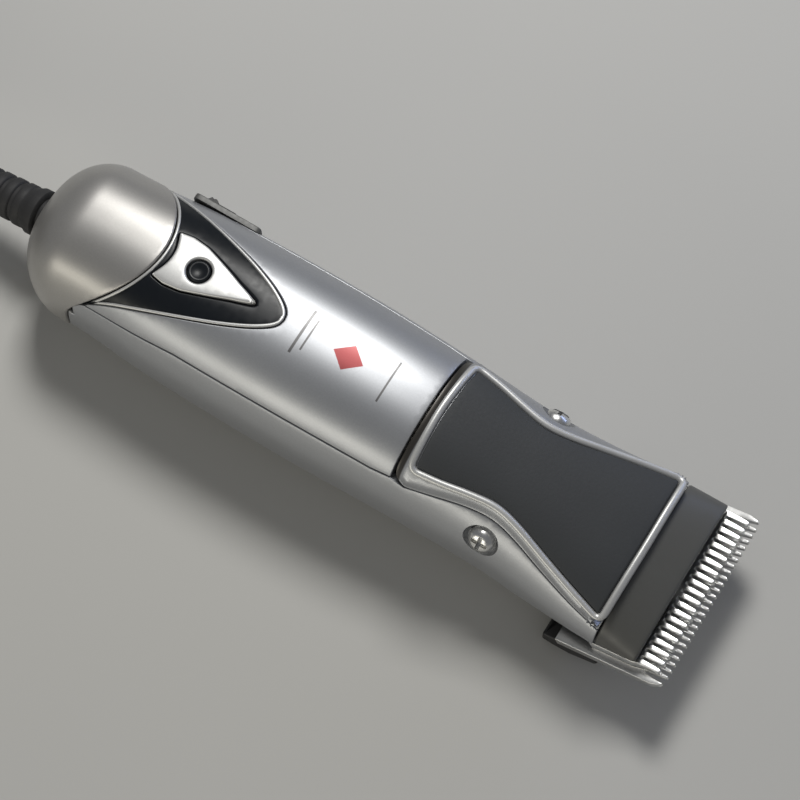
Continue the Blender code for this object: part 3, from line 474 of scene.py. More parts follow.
def resampled(loop, step):
    """The loop with points no further apart than step."""
    points = []
    for (xa, ya), (xb, yb) in zip(loop, loop[1:] + loop[:1]):
        count = max(1, math.ceil(math.hypot(xb - xa, yb - ya) / step))
        points += [(xa + (xb - xa) * i / count, ya + (yb - ya) * i / count) for i in range(count)]
    return points


def softened(loop, step, times):
    """The loop with its corners worn round."""
    points = np.array(resampled(loop, step))
    for _ in range(times):
        points = (np.roll(points, 1, 0) + 2 * points + np.roll(points, -1, 0)) / 4
    return [tuple(p) for p in points]


def curved(points, count=8):
    """A smooth line through a few points."""
    points = [Vector(p) for p in points]
    points = [2 * points[0] - points[1], *points, 2 * points[-1] - points[-2]]
    line = []
    for a, b, c, d in zip(points, points[1:], points[2:], points[3:]):
        for i in range(count):
            t = i / count
            line.append(0.5 * (2 * b + (c - a) * t + (2 * a - 5 * b + 4 * c - d) * t**2
                               + (3 * b - a - 3 * c + d) * t**3))
    return [tuple(p) for p in [*line, points[-2]]]


def inside(points, loop):
    """Which points lie inside a closed loop."""
    x, y = points[:, 0], points[:, 1]
    found = np.zeros(len(points), bool)
    for (xa, ya), (xb, yb) in zip(loop, loop[1:] + loop[:1]):
        if ya != yb:
            crosses = (ya > y) != (yb > y)
            found ^= crosses & (x < (xb - xa) * (y - ya) / (yb - ya) + xa)
    return found


# %% [markdown]
# ## Filling an outline
# A cover needs even triangles inside an outline that may have holes. Blender's own fill makes long
# thin faces, so staggered points are laid inside and joined by a Delaunay fill. Rings close to the
# edge carry the rounding.

# %% Filling an outline
RING_SHARES = (0, 0.08, 0.29, 0.62, 1)


def grid_inside(loop, holes, step):
    """Staggered points inside a loop and outside its holes, clear of both."""
    low, high = np.min(loop, 0), np.max(loop, 0)
    rows = np.arange(low[1] + step / 2, high[1], step * 0.87)
    points = [(x, y) for i, y in enumerate(rows)
              for x in np.arange(low[0] + step * (0.25 + 0.5 * (i % 2)), high[0], step)]
    points = np.array(points)
    keep = inside(points, loop)
    for hole in holes:
        keep &= ~inside(points, hole)
    points = points[keep]
    border = [point for ring in [loop, *holes] for point in ring]
    tree = KDTree(len(border))
    for i, (x, y) in enumerate(border):
        tree.insert((x, y, 0), i)
    tree.balance()
    return [(x, y) for x, y in points if tree.find((x, y, 0))[2] > step * 0.55]


def filled(outline, holes, step, edge):
    """Triangles that fill an outline, with each point's share of the way in from the edge."""
    loops = [resampled(outline, step), *[resampled(hole, step * 0.7) for hole in holes]]
    points, links, shares, innermost = [], [], [], []
    for number, loop in enumerate(loops):
        for share in RING_SHARES:
            ring = outset(loop, (edge if number else -edge) * share)
            first, count = len(points), len(ring)
            points += ring
            shares += [share] * count
            links += [(first + i, first + (i + 1) % count) for i in range(count)]
        innermost.append(ring)
    grid = grid_inside(innermost[0], innermost[1:], step)
    shares += [1] * len(grid)
    made = delaunay_2d_cdt([Vector(p) for p in points + grid], links, [], 0, 1e-8)
    places, faces, origins = made[0], made[2], made[3]
    share_of = [min((shares[k] for k in ids), default=1) for ids in origins]
    flat = np.array([tuple(p) for p in places])
    middles = flat[np.array(faces)].mean(1)
    keep = inside(middles, loops[0])
    for loop in loops[1:]:
        keep &= ~inside(middles, loop)
    return flat, [face for face, kept in zip(faces, keep) if kept], share_of


def quarter_round(share):
    """How far a rounded edge has dropped, from 1 at the rim to 0."""
    return 1 - math.sqrt(max(1 - (1 - share) ** 2, 0))


def shell(outline, holes, step, edge, outer, inner):
    """A closed mesh between two surfaces over an outline. Both say where a flat point goes."""
    flat, faces, shares = filled(outline, holes, step, edge)
    used = sorted({i for face in faces for i in face})
    number = {old: new for new, old in enumerate(used)}
    count = len(used)
    points = [outer(*flat[i], shares[i]) for i in used] + [inner(*flat[i], shares[i]) for i in used]
    faces = [[number[i] for i in face] for face in faces]
    sides = {(a, b) for face in faces for a, b in zip(face, face[1:] + face[:1])}
    walls = [(b, a, a + count, b + count) for a, b in sides if (b, a) not in sides]
    back_faces = [[i + count for i in reversed(face)] for face in faces]
    mesh = bpy.data.meshes.new("shell")
    mesh.from_pydata([tuple(p) for p in points], [], faces + back_faces + sorted(walls))
    bm = bmesh.new()
    bm.from_mesh(mesh)
    bmesh.ops.remove_doubles(bm, verts=bm.verts, dist=1e-7)
    bmesh.ops.recalc_face_normals(bm, faces=bm.faces)
    bm.to_mesh(mesh)
    bm.free()
    return mesh


def cover(outline, holes=(), grow=0.0, under=-WALL, step=0.0013, edge=0.0003, drop=None,
          profile=quarter_round, unrolled=None):
    """A cover of the handle over an outline on the unrolled sheet."""
    fall = edge if drop is None else drop
    back_to_form = unrolled or (lambda a, b: (a, b / ROUND))
    return shell(
        outline, list(holes), step, edge,
        lambda a, b, share: on_form(*back_to_form(a, b), grow - fall * profile(share)),
        lambda a, b, share: on_form(*back_to_form(a, b), under),
    )


def on_sheet(line, about=TOP):
    """A half outline of (u, turn) points and its mirror, on the unrolled sheet."""
    near = [(u, 2 * about - turn) for u, turn in reversed(line) if abs(turn - about) > 1e-6]
    return [(u, turn * ROUND) for u, turn in [*line, *near]]


# %% [markdown]
# ## Where the seams run
# The seams are drawn on the far half only and mirrored. The cap's front edge is an arch that drops
# straight down each side, and the dark trim hugs it and runs out to a blunt tip.

# %% Seam lines
CAP_SEAM_X, CAP_REACH, CAP_HALF, CAP_FLOOR = 0.014, 0.0220, 0.0200, 0.011
TRIM_FLOOR = 0.0236
UPPER_END, HOOD_END, NOSE_END = 0.1105, 0.1700, 0.1810
SEAM = GAP / 2


def arch_point(degrees):
    turn = math.radians(degrees)
    return up(CAP_SEAM_X + CAP_REACH * math.cos(turn), CAP_HALF * math.sin(turn))


def tail_point(turn, height):
    """Where the closing tail reaches a height, looking round it at a turn."""
    low, high = TAIL_ROUND - TAIL_SPAN * math.pi / 2, TAIL_ROUND
    for _ in range(40):
        u = (low + high) / 2
        low, high = (low, u) if on_form(u, turn, 0).z < height else (u, high)
    return u, turn


ARCH = [arch_point(degrees) for degrees in range(0, 76, 5)]
CAP_CORNER = [(0.0186, math.radians(4)), (0.0180, math.radians(-8)), side(0.0177, 0.0128),
              side(0.0165, 0.0113), side(CAP_SEAM_X, CAP_FLOOR)]
first_turn = CAP_CORNER[-1][1]
TAIL_SEAM = [tail_point(first_turn + (BOTTOM - first_turn) * i / 12, CAP_FLOOR)
             for i in range(1, 13)]
TRIM_ARM = [up(x, y) for x, y in curved([
    (0.0200, 0.0190), (0.0290, 0.0168), (0.0380, 0.0147), (0.0470, 0.0122), (0.0560, 0.0093),
    (0.0630, 0.0064), (0.0675, 0.0038), (0.0695, 0.0018), (0.0700, 0.0)], 4)]
HOOD_SIDE = [up(x, y) for x, y in curved([
    (0.1142, 0.0178), (0.1210, 0.0164), (0.1290, 0.0146), (0.1358, 0.0138), (0.1425, 0.0148),
    (0.1520, 0.0174), (0.1610, 0.0197), (HOOD_END, 0.0214)], 4)]
UPPER_SIDE = [up(x, y) for x, y in ((0.0235, 0.0183), (0.050, 0.0186), (0.085, 0.0186),
                                    (0.105, 0.0181), (UPPER_END, 0.0176))]
arm_start = next(i for i, point in enumerate(TRIM_ARM) if point[0] > 0.0235)
print("arch points:", len(ARCH), "trim arm points:", len(TRIM_ARM))


# %% [markdown]
# ## The silver shells
# The lower shell wraps the belly and both flanks. The upper shell is a long lid from the trim to
# the hood. Each is drawn slightly smaller than its seam lines, so a fine dark joint shows between.

# %% Lower and upper shells
BLADE_TILT = math.radians(20)
TIP_X = 0.190 - 0.0026 * math.sin(BLADE_TILT)
TIP_Z = 0.019
MOUTH_REAR = 0.1546


def mouth_height(x):
    """The upper edge of the open front, which runs along the blade."""
    return TIP_Z + (x - TIP_X) * math.tan(BLADE_TILT) + 0.0039 / math.cos(BLADE_TILT)


mouth_line = [side(x, mouth_height(x)) for x in np.linspace(HOOD_END, MOUTH_REAR, 8)]
belly_turns = np.linspace(mouth_line[-1][1], BOTTOM, 10)[1:]
belly_line = [(MOUTH_REAR, turn) for turn in belly_turns]
lower_half = [
    *reversed(TAIL_SEAM), *reversed(CAP_CORNER), (0.0188, math.radians(6)),
    side(0.0203, TRIM_FLOOR), *TRIM_ARM[:arm_start], *UPPER_SIDE, *HOOD_SIDE,
    *mouth_line, *belly_line,
]
lower_loop = outset(on_sheet(lower_half, BOTTOM), -SEAM)
lower = piece("lower_shell", cover(lower_loop, edge=0.00028), "silver_shell", "handle",
              "lower_casing")

upper_half = [(UPPER_END, TOP), *reversed(UPPER_SIDE), *TRIM_ARM[arm_start:]]
upper_loop = outset(on_sheet(upper_half), -SEAM)
printed = flaked("printed_silver", SILVER, 0.43, 0.74, plain_print)
upper = piece("upper_shell", cover(upper_loop, edge=0.00028), "silver_shell", "handle",
              "upper_casing", finish=printed)
print("shell faces:", len(lower.data.polygons), len(upper.data.polygons))


# %% [markdown]
# ## The tail cap
# The cap closes the whole tail, so an unrolled strip would leave a seam under it. It is laid out
# round the tail's centre instead, like a map round a pole.

# %% Tail cap
TAIL_START = TAIL_ROUND - TAIL_SPAN * math.pi / 2
POLE = 0.004
RELIEF_HOLE_LEAN = math.radians(6)


def to_pole(u, turn):
    return (u - TAIL_START + POLE) * math.cos(turn), (u - TAIL_START + POLE) * math.sin(turn)


def from_pole(a, b):
    return math.hypot(a, b) + TAIL_START - POLE, math.atan2(b, a)


cap_half = [*ARCH, *CAP_CORNER, *TAIL_SEAM]
cap_near = [(u, math.pi - turn) for u, turn in reversed(cap_half[1:-1])]
cap_loop = outset([to_pole(u, turn) for u, turn in [*cap_half, *cap_near]], -SEAM)
hole_reach = POLE + TAIL_SPAN * RELIEF_HOLE_LEAN
cap_hole = [(hole_reach * math.cos(a), hole_reach * math.sin(a))
            for a in np.linspace(0, 2 * math.pi, 48, endpoint=False)]
cap_mesh = cover(cap_loop, [cap_hole], grow=0.0004, edge=0.0005, unrolled=from_pole)
cap = piece("tail_cover", cap_mesh, "tail_silver", "handle", "tail_cap")
print("tail cap faces:", len(cap.data.polygons))


# %% [markdown]
# ## The dark trim and the badge
# A polished black V frames the cap, with a thin silver bead round its outside. The arrowhead badge
# sits in a hole of its own and carries the push button.

# %% Trim, bead and badge
trim_half = [*reversed(TRIM_ARM), side(0.0203, TRIM_FLOOR), (0.0188, math.radians(6)),
             *reversed(ARCH)]
trim_loop = outset(on_sheet(trim_half), -SEAM)
badge_half = [up(x, y) for x, y in (
    (0.0383, 0), (0.0380, 0.0022), (0.0372, 0.0044), (0.0362, 0.0064), (0.0400, 0.0071),
    (0.0445, 0.0066), (0.0500, 0.0048), (0.0560, 0.0026), (0.0610, 0.0009), (0.0625, 0))]
badge_line = softened(on_sheet(badge_half), 0.0004, 3)
badge_hole = outset(badge_line, SEAM)
trim = piece("trim_panel", cover(trim_loop, [badge_hole], grow=-0.0002, edge=0.0004),
             "gloss_black", "handle", "tail_trim")

bead_outer = outset(trim_loop, -0.00002)
bead_inner = outset(trim_loop, -0.00075)
bead_mesh = cover(bead_outer, [bead_inner], grow=0.00022, under=-0.0007, step=0.0009, edge=0.0003)
piece("trim_bead", bead_mesh, "bright_silver", "handle")

BUTTON = Vector((0.0460, 0, 0.0375))
BUTTON_HOLE = 0.0032
button_hole = [(BUTTON.x + BUTTON_HOLE * math.cos(a), BUTTON.y + BUTTON_HOLE * math.sin(a))
               for a in np.linspace(0, 2 * math.pi, 40, endpoint=False)]
button_hole = [(u, turn * ROUND) for u, turn in (up(x, y) for x, y in button_hole)]
badge_mesh = cover(outset(badge_line, -SEAM), [button_hole], grow=0.0005, step=0.0009, edge=0.0005)
badge = piece("arrow_badge", badge_mesh, "bright_silver", "handle", "button_badge")
print("trim faces:", len(trim.data.polygons))


# %% [markdown]
# ## The hood, its rim and the grip panel
# The hood rises out of the shell in a soft step. A round silver rim frames an hourglass panel with a
# soft coating. The step is the same edge rounding as before, only wide and S-shaped.

# %% Hood, rim and panel
HOOD_LIFT, RIM_LIFT, PANEL_LIFT, RIM_WIDTH = 0.0016, 0.0030, 0.0025, 0.0020
STEP_WIDTH = 0.0030


def soft_step(share):
    return 1 - share * share * (3 - 2 * share)


hood_half = [(UPPER_END + GAP, TOP), up(UPPER_END + GAP, 0.0150), up(0.1112, 0.0168), *HOOD_SIDE,
             (HOOD_END, TOP)]
hood_loop = outset(softened(on_sheet(hood_half), 0.0005, 8), -SEAM)
hood_mesh = cover(hood_loop, grow=HOOD_LIFT, edge=STEP_WIDTH, drop=HOOD_LIFT, profile=soft_step)
# The hood's finish paints shade and a dark reflection onto the rear slope of its step.
hood = piece("hood_cover", hood_mesh, "silver_shell", "handle", "front_hood",
             finish=flaked("silver_with_painted_step_shade", SILVER, 0.43, 0.74, painted_step_shade))

panel_side = curved([(0.1152, 0.0128), (0.1220, 0.0119), (0.1290, 0.0106), (0.1358, 0.0098),
                     (0.1425, 0.0108), (0.1520, 0.0134), (0.1610, 0.0158), (0.1685, 0.0176)], 4)
panel_half = [(0.1145, 0), (0.1148, 0.0070), *panel_side, (0.1688, 0)]
panel_line = softened(on_sheet([up(x, y) for x, y in panel_half]), 0.0005, 4)
rim_outer = softened(outset(panel_line, RIM_WIDTH), 0.0005, 8)
rim_mesh = cover(rim_outer, [outset(panel_line, SEAM)], grow=RIM_LIFT, under=HOOD_LIFT - 0.0004,
                 step=0.0008, edge=0.00085, drop=0.0009)
rim = piece("hood_frame", rim_mesh, "bright_silver", "handle", "hood_rim")
panel_mesh = cover(outset(panel_line, -SEAM), grow=PANEL_LIFT, under=HOOD_LIFT - 0.0004,
                   edge=0.0005)
panel = piece("grip_panel", panel_mesh, "soft_panel", "handle", "hood_panel")
print("rim and panel faces:", len(rim.data.polygons), len(panel.data.polygons))

# %% [markdown]
# ## The nose
# A plain grey strip closes the front, right behind the blade. It is one more cover of the same form,
# so it follows the handle's curve without any fitting.

# %% Nose
nose_line = [side(x, mouth_height(x) + GAP) for x in np.linspace(HOOD_END, NOSE_END, 5)]
nose_half = [(HOOD_END + SEAM, TOP), *nose_line, (NOSE_END, TOP)]
nose_mesh = cover(outset(on_sheet(nose_half), -SEAM), grow=-0.0004, edge=0.0006)
nose = piece("nose_strip", nose_mesh, "nose_grey", "handle", "nose_cover")
print("nose faces:", len(nose.data.polygons))


# %% [markdown]
# ## The blade set
# The fixed comb lies under the moving cutter. Both are ground steel plates whose teeth thin towards
# the tip. They use the same filled outlines as the covers, on a flat tilted plane, so each tooth
# gets its own rounded edge and its own taper.

# %% Blades
COMB_THICK, CUTTER_THICK = 0.0026, 0.0027
COMB_DEPTH, COMB_HALF, COMB_TEETH = 0.030, 0.0244, 25
CUTTER_DEPTH, CUTTER_HALF, CUTTER_TEETH = 0.019, 0.0224, 21
CUTTER_SETBACK = 0.0016
ON_BLADE = Matrix.Translation(world((TIP_X, 0, TIP_Z))) @ Matrix.Rotation(-BLADE_TILT, 4, "Y")


def toothed(half, depth, teeth, tooth, root_share, tip_share, corner=0.0):
    """A blade seen from above: its teeth point to +X and end at x = 0."""
    pitch = 2 * (half - corner) / teeth
    outline = [(-depth, -half), (-tooth - 0.002, -half)]
    if corner:
        outline += [(-0.003, -half), (-0.0008, -half + 0.0006), (-0.0004, -half + corner * 0.55),
                    (-tooth, -half + corner * 0.8)]
    for i in range(teeth):
        middle = -half + corner + pitch * (i + 0.5)
        outline += [(-tooth, middle - pitch * root_share), (-0.0003, middle - pitch * tip_share),
                    (0, middle - pitch * tip_share * 0.5), (0, middle + pitch * tip_share * 0.5),
                    (-0.0003, middle + pitch * tip_share), (-tooth, middle + pitch * root_share)]
    if corner:
        outline += [(-tooth, half - corner * 0.8), (-0.0004, half - corner * 0.55),
                    (-0.0008, half - 0.0006), (-0.003, half)]
    return outline + [(-tooth - 0.002, half), (-depth, half)]


def blade_plate(outline, holes, low, high, step, edge, thin=0.0, over=0.007, from_top=False):
    """A plate on the blade's plane that thins by `thin` over its last stretch."""
    def taper(x):
        return thin * min(max((x + over) / over, 0), 1) ** 1.5

    def outer(x, y, share):
        drop = taper(x) if from_top else 0
        return ON_BLADE @ Vector((x, y, high - drop - edge * quarter_round(share)))

    def inner(x, y, share):
        drop = 0 if from_top else taper(x)
        return ON_BLADE @ Vector((x, y, low + drop + edge * quarter_round(share)))

    return shell(outline, holes, step, edge, outer, inner)


comb_outline = toothed(COMB_HALF, COMB_DEPTH, COMB_TEETH, 0.0062, 0.36, 0.20, 0.0022)
comb = piece("comb_plate", blade_plate(comb_outline, [], -COMB_THICK, 0, 0.0016, 0.00014, 0.0014),
             "ground_steel", "blade_set", "comb_blade")
cutter_outline = [(x - CUTTER_SETBACK, y) for x, y in
                  toothed(CUTTER_HALF, CUTTER_DEPTH, CUTTER_TEETH, 0.0055, 0.34, 0.24)]
cutter_mesh = blade_plate(cutter_outline, [], GAP, GAP + CUTTER_THICK, 0.0016, 0.00014, 0.0016,
                          0.0085, from_top=True)
cutter = piece("cutter_plate", cutter_mesh, "ground_steel", "cutter", "cutter_blade")
print("blade faces:", len(comb.data.polygons), len(cutter.data.polygons))


# %% [markdown]
# ## Turned and sawn parts
# Screws, buttons and the plug's pins are turned shapes: a profile spun round an axis. Guides,
# sockets and covers are sawn from a plate. Both get small bevels, which catch the light.

# %% Turned and sawn shapes
def lathe(profile, base, axis, steps=48):
    """(radius, height) points spun round an axis through base."""
    turn = Vector(axis).to_track_quat("Z", "Y").to_matrix().to_4x4()
    place = Matrix.Translation(world(base)) @ turn
    bm = bmesh.new()
    rings = []
    for radius, height in profile:
        if radius < 1e-7:
            rings.append([bm.verts.new(place @ Vector((0, 0, height)))])
            continue
        angles = [2 * math.pi * i / steps for i in range(steps)]
        rings.append([bm.verts.new(place @ Vector((radius * math.cos(a), radius * math.sin(a),
                                                   height))) for a in angles])
    for low, high in zip(rings, rings[1:]):
        for i in range(steps):
            j = (i + 1) % steps
            corners = [low[i % len(low)], low[j % len(low)], high[j % len(high)],
                       high[i % len(high)]]
            corners = list(dict.fromkeys(corners))
            if len(corners) > 2:
                bm.faces.new(corners)
    bmesh.ops.recalc_face_normals(bm, faces=bm.faces)
    mesh = bpy.data.meshes.new("lathe")
    bm.to_mesh(mesh)
    bm.free()
    return mesh


def sawn(outline, low, high, place):
    """A plate with an outline in its own plane, put in place by a matrix."""
    bm = bmesh.new()
    bottom = [bm.verts.new((x, y, low)) for x, y in outline]
    top = [bm.verts.new((x, y, high)) for x, y in outline]
    bm.faces.new(bottom)
    bm.faces.new(top)
    for i in range(len(outline)):
        j = (i + 1) % len(outline)
        bm.faces.new((bottom[i], bottom[j], top[j], top[i]))
    bmesh.ops.recalc_face_normals(bm, faces=bm.faces)
    bmesh.ops.transform(bm, matrix=place, verts=bm.verts)
    mesh = bpy.data.meshes.new("sawn")
    bm.to_mesh(mesh)
    bm.free()
    return mesh


IN_PLAN = Matrix.Translation(world((0, 0, 0)))
FROM_SIDE = IN_PLAN @ Matrix.Rotation(math.pi / 2, 4, "X")


def block(low, high):
    """A plain block between two corners."""
    (x0, y0, z0), (x1, y1, z1) = low, high
    return sawn([(x0, y0), (x1, y0), (x1, y1), (x0, y1)], z0, z1, IN_PLAN)


def carve(made, tool_mesh):
    """Cut a shape out of a piece for good."""
    tool = bpy.data.objects.new("tool", tool_mesh)
    bpy.context.scene.collection.objects.link(tool)
    change = made.modifiers.new("carve", "BOOLEAN")
    change.operation = "DIFFERENCE"
    change.solver = "MANIFOLD"
    change.object = tool
    seen = made.evaluated_get(bpy.context.evaluated_depsgraph_get())
    mesh = bpy.data.meshes.new_from_object(seen)
    made.modifiers.clear()
    made.data = mesh
    bpy.data.objects.remove(tool)
    mesh.set_sharp_from_angle(angle=math.radians(40))
    return made


def mirrored(half):
    """A closed outline from its +Y half."""
    return [*half, *[(x, -y) for x, y in reversed(half) if abs(y) > 1e-6]]


# %% [markdown]
# ## What holds the blade together
# A plastic guide on the cutter takes the lever's end, a leaf spring presses the cutter on the comb,
# and a folded socket takes the hinge's tongue. They are flat or folded plates, so each is sawn from
# its outline.

# %% Cutter guide, socket, leaf spring and its screws
guide_floor = GAP + CUTTER_THICK + GAP
guide_outline = [(-0.0042, guide_floor), (0.0042, guide_floor), (0.0042, guide_floor + 0.0029),
                 (0.00195, guide_floor + 0.0029), (0.00195, guide_floor + 0.0008),
                 (-0.00195, guide_floor + 0.0008), (-0.00195, guide_floor + 0.0029),
                 (-0.0042, guide_floor + 0.0029)]
ACROSS = ON_BLADE @ Matrix(((0, 0, 1, 0), (1, 0, 0, 0), (0, 1, 0, 0), (0, 0, 0, 1)))
guide = piece("lever_guide", sawn(guide_outline, -0.0185, -0.0112, ACROSS), "black_plastic",
              "cutter", "cutter_guide", smooth=False)
bevel(guide, 0.0002)
socket_outline = [(-0.0085, GAP), (-0.0066, GAP), (-0.0066, 0.0024), (0.0066, 0.0024),
                  (0.0066, GAP), (0.0085, GAP), (0.0085, 0.0034), (-0.0085, 0.0034)]
socket = piece("hinge_socket", sawn(socket_outline, -0.0292, -0.0212, ACROSS), "dark_steel",
               "blade_set", "blade_socket", smooth=False)
bevel(socket, 0.0002)

leaf_half = [(-0.0290, 0), (-0.0290, 0.0160), (-0.0236, 0.0160), (-0.0236, 0.0118),
             (-0.0120, 0.0108), (-0.0120, 0.0078), (-0.0236, 0.0078), (-0.0236, 0)]
leaf_holes = [[(-0.0262 + 0.0017 * math.cos(a), side_y + 0.0017 * math.sin(a))
               for a in np.linspace(0, 2 * math.pi, 24, endpoint=False)]
              for side_y in (0.0132, -0.0132)]
leaf_outline = softened(mirrored(leaf_half), 0.0004, 3)
leaf_mesh = blade_plate(leaf_outline, leaf_holes, 0.0037, 0.0044, 0.0012, 0.00012)
leaf = piece("leaf_spring", leaf_mesh, "ground_steel", "blade_set", "blade_spring")


def crosshead(head, thread):
    """A screw's profile: a domed head over a shank with fine thread rings."""
    radius, low, high = head
    shank, end = thread
    profile = [(0, high), (radius * 0.55, high - 0.05 * (high - low)),
               (radius * 0.86, high - 0.30 * (high - low)), (radius, low + 0.25 * (high - low)),
               (radius, low), (shank, low)]
    steps = max(2, int((low - end) / 0.0005))
    for i in range(1, steps):
        height = low - (low - end) * i / steps
        profile.append((shank * (0.86 if i % 2 else 1.0), height))
    return [*profile, (shank * 0.7, end), (0, end)]


def add_crosshead(name, head, thread, base, axis, slot, body, node):
    """A screw with a cross recess in its head."""
    screw = piece(name, lathe(crosshead(head, thread), base, axis, 36), slot, body, node)
    turn = Vector(axis).to_track_quat("Z", "Y").to_matrix().to_4x4()
    place = Matrix.Translation(world(base)) @ turn
    arm, slit = head[0] * 0.62, head[0] * 0.15
    cross = [(slit, slit), (slit, arm), (-slit, arm), (-slit, slit), (-arm, slit), (-arm, -slit),
             (-slit, -slit), (-slit, -arm), (slit, -arm), (slit, -slit), (arm, -slit), (arm, slit)]
    depth = (head[2] - head[1]) * 0.75
    return carve(screw, sawn(cross, head[2] - depth, head[2] + 0.001, place))


LEAF_TOP = 0.0044
for name, y in (("far", 0.0132), ("near", -0.0132)):
    base = ON_BLADE @ Vector((-0.0262, y, 0)) - world((0, 0, 0))
    up_blade = ON_BLADE.to_3x3() @ Vector((0, 0, 1))
    add_crosshead(f"leaf_screw_{name}", (0.0026, LEAF_TOP + GAP, LEAF_TOP + 0.0015),
                  (0.0014, GAP), base, up_blade, "dark_steel", "blade_set",
                  f"blade_screw_{name}")
print("blade pieces done")

# %% [markdown]
# ## The blade's hinge
# The blade set slides onto a steel tongue that swings down on a pin. A black heel hides it from
# below. The tongue's bore is cut with a Boolean, because a round hole through a plate is what a
# Boolean does well.

# %% Hinge tongue, bracket, pin and the cover under the blade
HINGE = Vector((0.159, 0, 0.005))


def blade_side(along, above):
    """(x, z) from the tail of a point on the blade's side view."""
    point = ON_BLADE @ Vector((along, 0, above)) - world((0, 0, 0))
    return point.x, point.z


skirt_outline = [(0.1573, 0.0010), (0.1600, 0.0006), (0.1650, 0.0010), (0.1720, 0.0046),
                 (0.1725, 0.0062), blade_side(-0.0205, -COMB_THICK - 0.0005),
                 blade_side(-0.0295, -COMB_THICK - 0.0005), (0.1573, 0.0046)]
skirt = piece("blade_heel", sawn(skirt_outline, -0.0238, 0.0238, FROM_SIDE), "black_plastic",
              "hinge", "hinge_cover", smooth=False)
carve(skirt, block((0.1565, -0.0110, -0.001), (0.1622, 0.0110, 0.020)))
bevel(skirt, 0.0005, 3)
tongue_outline = [
    (0.1572, 0.0036), (0.1590, 0.0027), (0.1609, 0.0040), (0.1612, 0.0054), (0.1602, 0.0080),
    blade_side(-0.0296, GAP), blade_side(-0.0215, GAP), blade_side(-0.0210, 0.0011),
    blade_side(-0.0215, 0.0019), blade_side(-0.0312, 0.0019), (0.1570, 0.0078), (0.1568, 0.0050)]
tongue = piece("hinge_tongue", sawn(tongue_outline, -0.0062, 0.0062, FROM_SIDE), "dark_steel",
               "hinge", "blade_hinge", smooth=False)
bore_profile = [(0, -0.015), (0.0015, -0.015), (0.0015, 0.015), (0, 0.015)]
carve(tongue, lathe(bore_profile, HINGE, (0, 1, 0), 32))
bevel(tongue, 0.0002)
pin_profile = [(0, 0.0102), (0.0009, 0.0102), (0.0012, 0.0099), (0.0012, -0.0099),
               (0.0009, -0.0102), (0, -0.0102)]
piece("hinge_rod", lathe(pin_profile, HINGE, (0, 1, 0), 32), "ground_steel", "handle", "hinge_pin")
print("hinge done")


# %% [markdown]
# ## Buttons and switch
# The push button is a short turned cap with a dished top. The slide switch runs in a framed slot on
# the far flank, and the latch that frees the blade is a button under the handle.

# %% Controls
BUTTON_TOP = 0.0429
button_profile = [(0, BUTTON_TOP - 0.0005), (0.0011, BUTTON_TOP - 0.00042),
                  (0.0019, BUTTON_TOP - 0.00012), (0.0023, BUTTON_TOP),
                  (0.0026, BUTTON_TOP - 0.0001), (0.0028, BUTTON_TOP - 0.0004),
                  (0.0029, BUTTON_TOP - 0.0009), (0.0029, 0.0377), (0.0040, 0.0377),
                  (0.0040, 0.0365), (0.0012, 0.0365), (0.0012, 0.0341), (0, 0.0341)]
button = piece("push_cap", lathe(button_profile, (BUTTON.x, 0, 0), (0, 0, 1)), "gloss_black",
               "push_button", "power_button")

carve(lower, block((0.0306, 0.0188, 0.0266), (0.0504, 0.0300, 0.0334)))
carve(lower, block((0.0330, 0.0140, 0.0284), (0.0480, 0.0300, 0.0316)))
frame_outline = [(0.0310, 0.0270), (0.0500, 0.0270), (0.0500, 0.0330), (0.0310, 0.0330)]
frame_opening = [(0.0334, 0.0286), (0.0476, 0.0286), (0.0476, 0.0314), (0.0334, 0.0314)]
plate_outline = softened(frame_outline, 0.0004, 10)
plate_hole = softened(frame_opening, 0.0003, 6)
switch_mesh = shell(
    plate_outline, [plate_hole], 0.0009, 0.00025,
    lambda x, z, share: world((x, 0.0206 - 0.00025 * quarter_round(share), z)),
    lambda x, z, share: world((x, 0.0192, z)),
)
piece("switch_frame", switch_mesh, "nose_grey", "handle", "switch_plate")
slider_outline = [(0.0338, 0.0212), (0.0345, 0.0222), (0.0351, 0.0219), (0.0357, 0.0222),
                  (0.0363, 0.0219), (0.0369, 0.0214), (0.0420, 0.0214), (0.0421, 0.0170),
                  (0.0338, 0.0170)]
slider = piece("slide_knob", sawn(slider_outline, 0.0289, 0.0311, IN_PLAN), "black_plastic",
               "power_slide", "switch_slider", smooth=False)
bevel(slider, 0.0002)

LATCH_X = 0.1370
latch_room = lathe([(0, -0.01), (0.0046, -0.01), (0.0046, 0.006), (0, 0.006)], (LATCH_X, 0, 0),
                   (0, 0, 1))
carve(lower, latch_room)
latch_profile = [(0, 0.0060), (0.0016, 0.0060), (0.0016, 0.0042), (0.0060, 0.0042),
                 (0.0060, 0.0027), (0.0043, 0.0027), (0.0043, 0.0013), (0.0041, 0.0009),
                 (0.0036, 0.0008), (0.0030, 0.0010), (0.0024, 0.0008), (0.0018, 0.0010),
                 (0.0012, 0.0008), (0, 0.0008)]
piece("latch_cap", lathe(latch_profile, (LATCH_X, 0, 0), (0, 0, 1)), "black_plastic", "latch",
      "latch_button")

# %% [markdown]
# ## The screws
# Two bright screws sit in dished seats at the waist and two dark ones hold the belly. Each seat is a
# turned shape cut out of the lower shell, and one loop places each pair.

